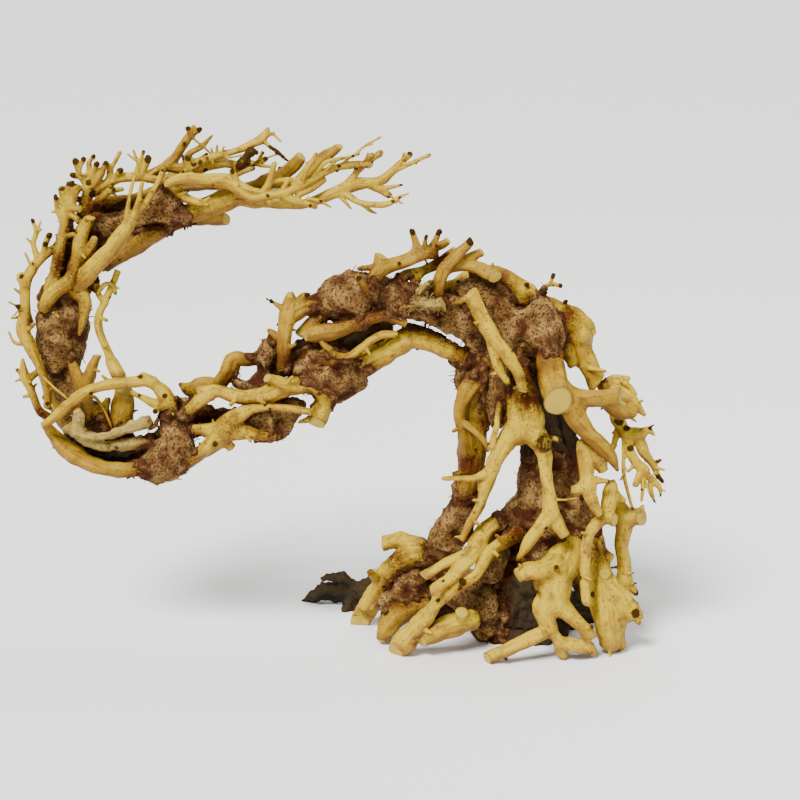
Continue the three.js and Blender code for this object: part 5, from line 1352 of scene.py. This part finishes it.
def layered(tree, colour, layers):
    """Lays noise patterns over a colour. Each layer has the space that it runs in, its lengths in mm, its
    detail, the noise values that it goes between, what it is multiplied by, its share and its colour. Returns
    the colour and the layers' noises."""
    noises = []
    for space, lengths, detail, low, high, mask, share, tint in layers:
        sizes = [1 / length for length in lengths]
        scaled = node(tree, "ShaderNodeVectorMath", {0: space, 1: sizes}, operation="MULTIPLY")
        inputs = {"Vector": scaled.outputs[0], "Scale": 1.0, "Detail": detail}
        noise = node(tree, "ShaderNodeTexNoise", inputs)
        inputs = {"Value": noise.outputs["Fac"], "From Min": low, "From Max": high, "To Max": share}
        fac = node(tree, "ShaderNodeMapRange", inputs).outputs[0]
        if mask:
            both = node(tree, "ShaderNodeMath", {0: fac, 1: mask}, operation="MULTIPLY", use_clamp=True)
            fac = both.outputs[0]
        colour = node(tree, "ShaderNodeMix", {0: fac, 6: colour, 7: tint}, data_type="RGBA").outputs[2]
        noises.append(noise.outputs["Fac"])
    return colour, noises


def root_wood(name, pale, gold, stain, tints, roughness):
    """Barkless root, dried and sandblasted: silky streaks along the grain, pale on top and in front and
    golden below as painted light and shade, broken up by patches of tone, rusty specks and stains by the
    joints, painted shade in the crevices between pieces, near-black snapped twigs, and paler saw cuts with
    growth rings."""
    material, tree, shader = new_material(name, roughness, 0.3)
    glue, burnt, cut = tints.soaked, tints.charred, tints.sawn
    held = {
        label: node(tree, "ShaderNodeAttribute", attribute_name=label)
        for label in ("grain", "girth", "sawn", "burnt", "toplit", "soil", "crevice_shade")
    }
    grain = held["grain"].outputs["Vector"]
    place = millimetres(tree)
    # Pale on top and in front and golden below, as painted light and shade, broken up by patches about 20 mm
    # wide.
    patches = node(tree, "ShaderNodeTexNoise", {"Vector": place, "Scale": 1 / 20, "Detail": 4})
    # Painted light: the patches plus how far the surface faces up and to the front.
    bare = node(
        tree, "ShaderNodeMath", {0: patches.outputs["Fac"], 1: held["toplit"].outputs["Fac"]}, operation="ADD"
    )
    share = node(tree, "ShaderNodeMapRange", {"Value": bare.outputs[0], "From Min": 1.25, "From Max": 0.8})
    colour = node(tree, "ShaderNodeMix", {0: share.outputs[0], 6: pale, 7: gold}, data_type="RGBA").outputs[2]
    soil, crevice_shade = held["soil"].outputs["Fac"], held["crevice_shade"].outputs["Fac"]
    soaked = node(tree, "ShaderNodeMath", {0: soil, 1: 2.5}, operation="POWER").outputs[0]
    colour, noises = layered(
        tree,
        colour,
        (
            (grain, (1.5, 1.5, 26), 4, 0.50, 0.70, None, 0.70, gold),
            (grain, (1.2, 1.2, 34), 3, 0.49, 0.30, None, 0.45, pale),
            (grain, (0.6, 0.6, 14), 3, 0.55, 0.75, None, 0.40, stain),
            (place, (9, 9, 9), 5, 0.54, 0.68, None, 0.55, stain),
            (place, (2.6, 2.6, 2.6), 4, 0.62, 0.67, None, 0.60, stain),
            # Painted shade: the stain colour darkens the crevices beside other pieces of wood.
            (place, (3.2, 3.2, 3.2), 5, 0.34, 0.54, crevice_shade, 0.90, stain),
            (place, (6, 6, 6), 5, 0.30, 0.55, soil, 1.10, stain),
            (place, (1.0, 1.0, 1.0), 2, 0.645, 0.68, None, 0.80, burnt),
            (place, (1.5, 1.5, 1.5), 3, 0.53, 0.60, soil, 1.20, burnt),
            (place, (2.4, 2.4, 2.4), 4, 0.30, 0.50, soaked, 1.20, glue),
        ),
    )
    # The sawn face: growth rings about 1 mm wide, and a darker rim where the skin was.
    parts = node(tree, "ShaderNodeSeparateXYZ", {0: grain})
    flat = node(tree, "ShaderNodeCombineXYZ", {0: parts.outputs[0], 1: parts.outputs[1]})
    out = node(tree, "ShaderNodeVectorMath", {0: flat.outputs[0]}, operation="LENGTH").outputs["Value"]
    uneven = node(tree, "ShaderNodeMath", {0: noises[3], 1: 5.0, 2: out}, operation="MULTIPLY_ADD").outputs[0]
    turns = node(tree, "ShaderNodeMath", {0: uneven, 1: 2 * math.pi}, operation="MULTIPLY").outputs[0]
    rings = node(tree, "ShaderNodeMath", {0: turns}, operation="SINE").outputs[0]
    ringed = node(tree, "ShaderNodeMapRange", {"Value": rings, "From Min": -1.0, "To Max": 0.35}).outputs[0]
    face = node(tree, "ShaderNodeMix", {0: ringed, 6: cut, 7: gold}, data_type="RGBA").outputs[2]
    girth = held["girth"].outputs["Fac"]
    rim = node(tree, "ShaderNodeMath", {0: out, 1: girth}, operation="DIVIDE").outputs[0]
    rimmed = node(tree, "ShaderNodeMapRange", {"Value": rim, "From Min": 0.8, "To Max": 0.8}).outputs[0]
    face = node(tree, "ShaderNodeMix", {0: rimmed, 6: face, 7: stain}, data_type="RGBA").outputs[2]
    sawn = held["sawn"].outputs["Fac"]
    colour = node(tree, "ShaderNodeMix", {0: sawn, 6: colour, 7: face}, data_type="RGBA").outputs[2]
    # Snapped ends and bark are near black, with a mottled edge.
    dark = held["burnt"].outputs["Fac"]
    charred = node(tree, "ShaderNodeMath", {0: dark, 1: noises[4]}, operation="ADD").outputs[0]
    inputs = {"Value": charred, "From Min": 0.8, "From Max": 1.2, "To Max": 0.95}
    black = node(tree, "ShaderNodeMapRange", inputs).outputs[0]
    colour = node(tree, "ShaderNodeMix", {0: black, 6: colour, 7: burnt}, data_type="RGBA").outputs[2]
    tree.links.new(colour, shader.inputs["Base Color"])
    # Char, bark and glue are dull.
    dull = node(tree, "ShaderNodeMath", {0: black, 1: soil}, operation="MAXIMUM").outputs[0]
    gloss = node(tree, "ShaderNodeMapRange", {"Value": dull, "To Min": 0.2, "To Max": 0.03})
    tree.links.new(gloss.outputs[0], shader.inputs["Specular IOR Level"])
    # The bump: streaks of both widths stand out, and the specks are pits.
    relief = noises[0]
    for noise, weight in ((noises[2], 0.8), (noises[7], -0.6)):
        inputs = {0: noise, 1: weight, 2: relief}
        relief = node(tree, "ShaderNodeMath", inputs, operation="MULTIPLY_ADD").outputs[0]
    bump = node(tree, "ShaderNodeBump", {"Height": relief, "Strength": 0.75, "Distance": 0.7 * MM})
    tree.links.new(bump.outputs[0], shader.inputs["Normal"])
    return material


def wood_putty(name, body, rust_and_shade, crumb, fleck_and_highlight):
    """Putty of sawdust and glue, pressed on by hand: matt and gritty, with rust-red spots, tan dust and
    painted highlight where it stands out and faces up, wine-red painted shade in its hollows, underneath and
    by the wood, and dark bark crumbs and tan chips."""
    material, tree, shader = new_material(name, 0.93, 0.1)
    place = millimetres(tree)
    raised_and_toplit = node(tree, "ShaderNodeAttribute", attribute_name="raised_and_toplit").outputs["Fac"]
    crevice_shade = node(tree, "ShaderNodeAttribute", attribute_name="crevice_shade").outputs["Fac"]
    hollow = node(tree, "ShaderNodeMath", {0: 1.0, 1: raised_and_toplit}, operation="SUBTRACT").outputs[0]
    colour, noises = layered(
        tree,
        body,
        (
            # Painted shade: wine-red in the hollows and underneath.
            (place, (15, 15, 15), 4, 0.42, 0.60, hollow, 1.3, rust_and_shade),
            # Painted highlight, with dust: tan where the putty stands out and faces up.
            (place, (9, 9, 9), 4, 0.42, 0.66, raised_and_toplit, 0.8, fleck_and_highlight),
            (place, (1.2, 1.2, 1.2), 4, 0.45, 0.36, raised_and_toplit, 1.0, fleck_and_highlight),
            (place, (4, 4, 4), 4, 0.54, 0.66, None, 0.65, rust_and_shade),
            # Painted shade beside the wood.
            (place, (5, 5, 5), 4, 0.25, 0.55, crevice_shade, 1.2, rust_and_shade),
            (place, (1.8, 1.8, 1.8), 4, 0.52, 0.62, None, 0.85, crumb),
            (place, (0.7, 0.7, 0.7), 4, 0.58, 0.66, None, 0.60, crumb),
        ),
    )
    tree.links.new(colour, shader.inputs["Base Color"])
    relief = node(tree, "ShaderNodeMath", {0: noises[5], 1: noises[6]}, operation="ADD").outputs[0]
    bump = node(tree, "ShaderNodeBump", {"Height": relief, "Strength": 0.9, "Distance": 1.0 * MM})
    tree.links.new(bump.outputs[0], shader.inputs["Normal"])
    return material


def speckled(name, first, second, size, roughness):
    """Small loose stuff, each bit a little different: bark crumbs, dry fibres or moss. Size is in mm."""
    material, tree, shader = new_material(name, roughness, 0.2)
    cells = node(tree, "ShaderNodeTexNoise", {"Vector": millimetres(tree), "Scale": 1 / size, "Detail": 1})
    inputs = {"Value": cells.outputs["Fac"], "From Min": 0.35, "From Max": 0.65}
    share = node(tree, "ShaderNodeMapRange", inputs).outputs["Result"]
    mix = node(tree, "ShaderNodeMix", {0: share, 6: first, 7: second}, data_type="RGBA")
    tree.links.new(mix.outputs[2], shader.inputs["Base Color"])
    return material


def scatter_tree(name, shape):
    """A tree that keeps a piece and strews small things over it. Inputs: Density, Smallest, Largest, Seed,
    Base (how many of the piece's faces are its own) and Material. shape(tree) makes the thing strewn, one
    unit across or long."""
    tree = bpy.data.node_groups.new(name, "GeometryNodeTree")
    face = tree.interface
    face.new_socket("Geometry", in_out="INPUT", socket_type="NodeSocketGeometry")
    for label, kind in (
        ("Density", "NodeSocketFloat"),
        ("Smallest", "NodeSocketFloat"),
        ("Largest", "NodeSocketFloat"),
        ("Seed", "NodeSocketInt"),
        ("Base", "NodeSocketInt"),
        ("Material", "NodeSocketMaterial"),
    ):
        face.new_socket(label, in_out="INPUT", socket_type=kind)
    face.new_socket("Geometry", in_out="OUTPUT", socket_type="NodeSocketGeometry")
    given = node(tree, "NodeGroupInput").outputs
    index = node(tree, "GeometryNodeInputIndex").outputs[0]
    on_base = node(
        tree, "FunctionNodeCompare", {2: index, 3: given["Base"]}, data_type="INT", operation="LESS_THAN"
    )
    spots = node(
        tree,
        "GeometryNodeDistributePointsOnFaces",
        {
            "Mesh": given["Geometry"],
            "Selection": on_base.outputs[0],
            "Density": given["Density"],
            "Seed": given["Seed"],
        },
    )
    turn = node(
        tree,
        "FunctionNodeRandomValue",
        {0: (-0.6, -0.6, 0.0), 1: (0.6, 0.6, 2 * math.pi), "Seed": given["Seed"]},
        data_type="FLOAT_VECTOR",
    )
    tilted = node(
        tree,
        "FunctionNodeRotateRotation",
        {0: spots.outputs["Rotation"], 1: turn.outputs[0]},
        rotation_space="LOCAL",
    )
    size = node(
        tree,
        "FunctionNodeRandomValue",
        {2: given["Smallest"], 3: given["Largest"], "Seed": given["Seed"]},
        data_type="FLOAT",
    )
    strewn = node(
        tree,
        "GeometryNodeInstanceOnPoints",
        {
            "Points": spots.outputs["Points"],
            "Instance": shape(tree),
            "Rotation": tilted.outputs[0],
            "Scale": size.outputs[1],
        },
    )
    real = node(tree, "GeometryNodeRealizeInstances", {0: strewn.outputs[0]})
    inputs = {"Geometry": real.outputs[0], "Material": given["Material"]}
    dressed = node(tree, "GeometryNodeSetMaterial", inputs)
    both = node(tree, "GeometryNodeJoinGeometry", {0: dressed.outputs[0]})
    tree.links.new(given["Geometry"], both.inputs[0])
    node(tree, "NodeGroupOutput", {0: both.outputs[0]})
    return tree


def crumb_shape(tree):
    """A bark crumb: a flattened lump one unit across."""
    ball = node(tree, "GeometryNodeMeshIcoSphere", {"Radius": 0.5, "Subdivisions": 1})
    return node(tree, "GeometryNodeTransform", {0: ball.outputs[0], "Scale": (1.0, 0.75, 0.6)}).outputs[0]


def fibre_shape(tree):
    """A dry fibre: a thin bent strand one unit long."""
    bend = node(
        tree,
        "GeometryNodeCurveQuadraticBezier",
        {"Resolution": 4, "Start": (0, 0, -0.05), "Middle": (0.1, 0.0, 0.4), "End": (0.55, 0.1, 0.75)},
    )
    ring = node(tree, "GeometryNodeCurvePrimitiveCircle", {"Resolution": 3, "Radius": 0.07})
    return node(tree, "GeometryNodeCurveToMesh", {0: bend.outputs[0], 1: ring.outputs[0]}).outputs[0]


def strew(piece, layers):
    """Strews each layer over the bare piece, and keeps the result as a plain mesh."""
    bare = piece.data
    for tree, density, smallest, largest, seed, material in layers:
        modifier = piece.modifiers.new(tree.name, "NODES")
        modifier.node_group = tree
        values = {"Density": density, "Smallest": smallest, "Largest": largest, "Seed": seed}
        values |= {"Material": material, "Base": len(bare.polygons)}
        for item in tree.interface.items_tree:
            if item.in_out == "INPUT" and item.name in values:
                modifier[item.identifier] = values[item.name]
    made_plain(piece)
    # Nothing reaches through the ground.
    points = np.empty(len(piece.data.vertices) * 3, np.float32)
    piece.data.vertices.foreach_get("co", points)
    points[2::3] = np.maximum(points[2::3], 0)
    piece.data.vertices.foreach_set("co", points)


def length(label, about, default):
    """A length in metres that a user can change."""
    return bpy.props.FloatProperty(name=label, description=about, default=default, min=0.0, unit="LENGTH")


def amount(label, about, default):
    """A plain number that a user can change."""
    return bpy.props.FloatProperty(name=label, description=about, default=default, min=0.0)


class DriftwoodSizes(bpy.types.PropertyGroup):
    """The sizes that shape the wood and the putty."""

    fine_voxel: length("Twig detail", "Mesh spacing on twiggy pieces", 0.8 * MM)
    coarse_voxel: length("Root detail", "Mesh spacing on thick roots", 1.0 * MM)
    stump_voxel: length("Stump detail", "Mesh spacing on the stump and trunk", 1.3 * MM)
    putty_voxel: length("Putty detail", "Mesh spacing on the putty", 1.1 * MM)
    kept: bpy.props.FloatProperty(
        name="Triangles kept", description="Share of the triangles kept", default=0.45, min=0.1, max=1.0
    )
    webbing: amount("Webbing", "How far wood fills in between two limbs, in limb radii", 0.4)
    knot_spacing: length("Knot spacing", "Mean length between snapped rootlets", 17 * MM)
    furrow_depth: length("Furrow depth", "Depth of the furrows along the grain", 0.5 * MM)
    putty_lumps: amount("Putty lumps", "How lumpy the putty is, from smooth to rough", 1.0)
    crumb_density: amount("Crumbs", "Bark crumbs on each square metre of putty", 2.7e5)
    fibre_density: amount("Fibres", "Dry fibres on each square metre of putty", 1.2e4)
    moss_density: amount("Moss", "Strands of dry moss on each square metre of weathered wood", 2.4e5)


def tint(label, about, code):
    """A colour that a user can change, with its default as an sRGB hex value."""
    return bpy.props.FloatVectorProperty(
        name=label, description=about, subtype="COLOR", size=4, min=0.0, max=1.0, default=linear(code)
    )


class DriftwoodColours(bpy.types.PropertyGroup):
    """The colours of the wood, the putty and the loose stuff on them."""

    # Each finish has two colours: the first is painted light on top and in front, the second painted shade
    # below; random patches and grain streaks mix them too.
    pale_lit_and_worn: tint("Pale wood", "Sandblasted root, where it is worn", "#B89A1A")
    pale_shaded_and_skin: tint("Pale wood, skin", "Sandblasted root, where some skin is left", "#8C6214")
    golden_lit_and_worn: tint("Golden wood", "Root with its skin, where it is worn", "#9C7A14")
    golden_shaded_and_skin: tint("Golden wood, skin", "Root with its skin", "#6E4908")
    grey_lit_and_worn: tint("Weathered wood", "Grey root, where it is worn", "#A08A45")
    grey_shaded_and_skin: tint("Weathered wood, skin", "Grey root with old bark", "#7A6128")
    dark_lit_and_worn: tint("Dark wood", "Bog wood, where it is rubbed", "#3A2D16")
    dark_shaded_and_skin: tint("Dark wood, skin", "Bog wood with its bark", "#0E0904")
    # The stain colour also paints shade in the crevices between pieces of wood.
    stains_and_shade: tint("Stain", "Rusty stains by the joints", "#5A2E0E")
    soaked: tint("Glue stain", "Wood soaked with glue beside the putty", "#4A240C")
    charred: tint("Charred wood", "Snapped twigs, knots and black bark", "#2A1306")
    sawn: tint("Sawn wood", "The faces of saw cuts", "#B89E36")
    putty: tint("Putty", "Dusty putty", "#7B5A2B")
    # The soaked putty colour also paints shade in the putty's hollows, underneath it and beside the wood.
    putty_rust_and_shade: tint("Putty, soaked", "Putty where the glue soaked in", "#43200F")
    crumb: tint("Crumbs", "Bark crumbs", "#301B0C")
    # The chips colour also paints highlight on the putty's raised and upward-facing parts.
    fleck_and_highlight: tint("Chips", "Tan chips and sawdust", "#A4814E")
    fibre: tint("Fibres", "Dry fibres on the putty", "#74401A")
    moss: tint("Moss", "Dry grey-green moss", "#66603F")


def spine(limbs, label, reach):
    """The middle lines of some limbs, for soil_on."""
    middle = np.vstack([limb.middle for limb in limbs])
    radius = np.concatenate([limb.radius for limb in limbs])
    return label, middle, radius, reach


def run_wood(context, finish, material):
    """Makes every wood piece of one finish."""
    colours = context.scene.driftwood_colours
    sizes = context.scene.driftwood
    lumps = [Limb(stations, 0, wander=0.0) for _, lists in PUTTY for stations in lists]
    label, middle, radius, reach = spine(lumps, "soil", SOIL_REACH)
    middle = np.vstack([middle, [place(*spot[:3]) for spot in STAINED]])
    radius = np.concatenate([radius, [spot[3] for spot in STAINED]])
    wood = {name: [Limb(stations, 0) for stations in lists] for name, _, lists in PIECES}
    for name, its_finish, limb_lists in PIECES:
        if its_finish == finish:
            piece = wood_piece(name, finish, limb_lists, sizes)
            beside = [limb for other, limbs in wood.items() if other != name for limb in limbs]
            # The other wood paints shade in the crevices between pieces; the putty stains with glue.
            soil_on(piece, [(label, middle, radius, reach), spine(beside, "crevice_shade", WOOD_CREVICE_SHADE)])
            if name in MOSSY:
                moss = speckled("dry moss", colours.moss, colours.grey_lit_and_worn, 2.0, 0.95)
                tree = scatter_tree("moss on wood", fibre_shape)
                piece.data.materials.append(material)
                strew(piece, [(tree, sizes.moss_density, 2.0 * MM, 5.0 * MM, 5, moss)])
            finished(piece, name, material)


class DRIFTWOOD_OT_pale_roots(bpy.types.Operator):
    """Makes the pale barkless roots"""

    bl_idname = "driftwood.pale_roots"
    bl_label = "Pale roots"

    def execute(self, context):
        tints = context.scene.driftwood_colours
        # Sandblasted wood is silky, neither dull nor polished.
        name = "barkless root wood, sandblasted"
        material = root_wood(name, tints.pale_lit_and_worn, tints.pale_shaded_and_skin, tints.stains_and_shade, tints, 0.5)
        run_wood(context, "pale", material)
        return {"FINISHED"}


class DRIFTWOOD_OT_golden_roots(bpy.types.Operator):
    """Makes the roots that kept their golden skin"""

    bl_idname = "driftwood.golden_roots"
    bl_label = "Golden roots"

    def execute(self, context):
        tints = context.scene.driftwood_colours
        # The skin is a little duller than the bare wood.
        name = "root wood with golden skin, worn"
        material = root_wood(name, tints.golden_lit_and_worn, tints.golden_shaded_and_skin, tints.stains_and_shade, tints, 0.52)
        run_wood(context, "ochre", material)
        return {"FINISHED"}


class DRIFTWOOD_OT_weathered_roots(bpy.types.Operator):
    """Makes the grey weathered roots"""

    bl_idname = "driftwood.weathered_roots"
    bl_label = "Weathered roots"

    def execute(self, context):
        tints = context.scene.driftwood_colours
        # Weather has opened the grain, which leaves it matt.
        name = "weathered root wood, grey"
        material = root_wood(name, tints.grey_lit_and_worn, tints.grey_shaded_and_skin, tints.stains_and_shade, tints, 0.85)
        run_wood(context, "grey", material)
        return {"FINISHED"}


class DRIFTWOOD_OT_dark_stump(bpy.types.Operator):
    """Makes the dark stump, its trunk and the dark wood inside the arm"""

    bl_idname = "driftwood.dark_stump"
    bl_label = "Dark stump"

    def execute(self, context):
        tints = context.scene.driftwood_colours
        # Dry bog wood is nearly matt, and its stains, and the painted shade in its crevices, are black.
        name = "bog wood, dark and dry"
        material = root_wood(name, tints.dark_lit_and_worn, tints.dark_shaded_and_skin, tints.charred, tints, 0.8)
        run_wood(context, "dark", material)
        return {"FINISHED"}


class DRIFTWOOD_OT_putty(bpy.types.Operator):
    """Makes the putty lumps with their crumbs"""

    bl_idname = "driftwood.putty"
    bl_label = "Putty"

    def execute(self, context):
        sizes = context.scene.driftwood
        tints = context.scene.driftwood_colours
        material = wood_putty(
            "wood putty, pressed by hand", tints.putty, tints.putty_rust_and_shade, tints.crumb, tints.fleck_and_highlight
        )
        crumbs = speckled("bark crumbs, loose", tints.crumb, tints.putty_rust_and_shade, 1.3, 0.95)
        fibres = speckled("dry fibres, loose", tints.fibre, tints.putty_rust_and_shade, 1.5, 0.9)
        tree = scatter_tree("crumbs over putty", crumb_shape)
        fibre_tree = scatter_tree("fibres over putty", fibre_shape)
        wood = [Limb(stations, 0) for _, _, lists in PIECES for stations in lists]
        # The wood beside the putty paints shade in the crevices on it.
        beside = spine(wood, "crevice_shade", PUTTY_CREVICE_SHADE)
        for name, limb_lists in PUTTY:
            piece = putty_piece(name, limb_lists, wood, sizes)
            soil_on(piece, [beside])
            piece.data.materials.append(material)
            seed = sum(map(ord, name))
            strew(
                piece,
                [
                    (tree, sizes.crumb_density, 0.5 * MM, 1.5 * MM, seed, crumbs),
                    (fibre_tree, sizes.fibre_density, 2.0 * MM, 6.0 * MM, seed + 1, fibres),
                ],
            )
            finished(piece, name, material)
        return {"FINISHED"}


class DRIFTWOOD_OT_stage(bpy.types.Operator):
    """Makes the floor, the soft light and the camera"""

    bl_idname = "driftwood.stage"
    bl_label = "Stage"

    def execute(self, context):
        mesh = bpy.data.meshes.new("floor")
        corners = [(x * FLOOR_REACH, y * FLOOR_REACH, 0) for x, y in ((-1, -1), (1, -1), (1, 1), (-1, 1))]
        mesh.from_pydata(corners, [], [(0, 1, 2, 3)])
        floor = bpy.data.objects.new("floor", mesh)
        context.collection.objects.link(floor)
        # Matt paint: pale, without a shine, so that only the soft shadow shows on it.
        material, _, shader = new_material("painted floor, matt", 0.9, 0.1)
        shader.inputs["Base Color"].default_value = linear("#F4F3F1")
        mesh.materials.append(material)
        world = bpy.data.worlds.new("studio")
        world.use_nodes = True
        background = world.node_tree.nodes["Background"]
        background.inputs["Color"].default_value = linear("#FFFFFF")
        background.inputs["Strength"].default_value = 0.4
        context.scene.world = world
        middle = Vector((-0.12, 0.0, 0.17))
        for name, kind, spot, energy, size in (
            ("key", "SUN", (-0.9, -1.3, 1.9), 7.0, math.radians(22)),
            ("fill", "AREA", (1.3, -0.9, 0.9), 9.0, 1.2),
            ("top", "AREA", (0.1, 0.5, 1.8), 14.0, 1.0),
        ):
            lamp = bpy.data.lights.new(name, kind)
            lamp.energy = energy
            if kind == "SUN":
                lamp.angle = size
            else:
                lamp.size = size
            light = bpy.data.objects.new(name, lamp)
            light.location = spot
            aim = middle - light.location
            light.rotation_euler = aim.to_track_quat("-Z", "Y").to_euler()
            context.collection.objects.link(light)
        lens = bpy.data.cameras.new("camera")
        lens.sensor_width = 36.0
        lens.lens = lens.sensor_width * VIEW_DISTANCE / VIEW_WIDTH
        lens.clip_end = 60.0
        camera = bpy.data.objects.new("camera", lens)
        camera.location = Vector(EYE * MM)
        camera.rotation_euler = Vector(FORWARD).to_track_quat("-Z", "Y").to_euler()
        context.collection.objects.link(camera)
        context.scene.camera = camera
        return {"FINISHED"}


class DRIFTWOOD_PT_panel(bpy.types.Panel):
    """Lists the sizes, the colours and the operators"""

    bl_label = "Driftwood"
    bl_space_type = "VIEW_3D"
    bl_region_type = "UI"
    bl_category = "Driftwood"

    def draw(self, context):
        for name in DriftwoodSizes.__annotations__:
            self.layout.prop(context.scene.driftwood, name)
        for name in DriftwoodColours.__annotations__:
            self.layout.prop(context.scene.driftwood_colours, name)
        for operator in OPERATORS:
            self.layout.operator(operator.bl_idname)


OPERATORS = (
    DRIFTWOOD_OT_pale_roots,
    DRIFTWOOD_OT_golden_roots,
    DRIFTWOOD_OT_weathered_roots,
    DRIFTWOOD_OT_dark_stump,
    DRIFTWOOD_OT_putty,
    DRIFTWOOD_OT_stage,
)


def register():
    for made in (DriftwoodSizes, DriftwoodColours, *OPERATORS, DRIFTWOOD_PT_panel):
        bpy.utils.register_class(made)
    bpy.types.Scene.driftwood = bpy.props.PointerProperty(type=DriftwoodSizes)
    bpy.types.Scene.driftwood_colours = bpy.props.PointerProperty(type=DriftwoodColours)


def unregister():
    del bpy.types.Scene.driftwood_colours
    del bpy.types.Scene.driftwood
    for made in (DRIFTWOOD_PT_panel, *reversed(OPERATORS), DriftwoodColours, DriftwoodSizes):
        bpy.utils.unregister_class(made)


def main():
    register()
    bpy.ops.driftwood.pale_roots()
    bpy.ops.driftwood.golden_roots()
    bpy.ops.driftwood.weathered_roots()
    bpy.ops.driftwood.dark_stump()
    bpy.ops.driftwood.putty()
    bpy.ops.driftwood.stage()


if __name__ == "__main__":
    main()
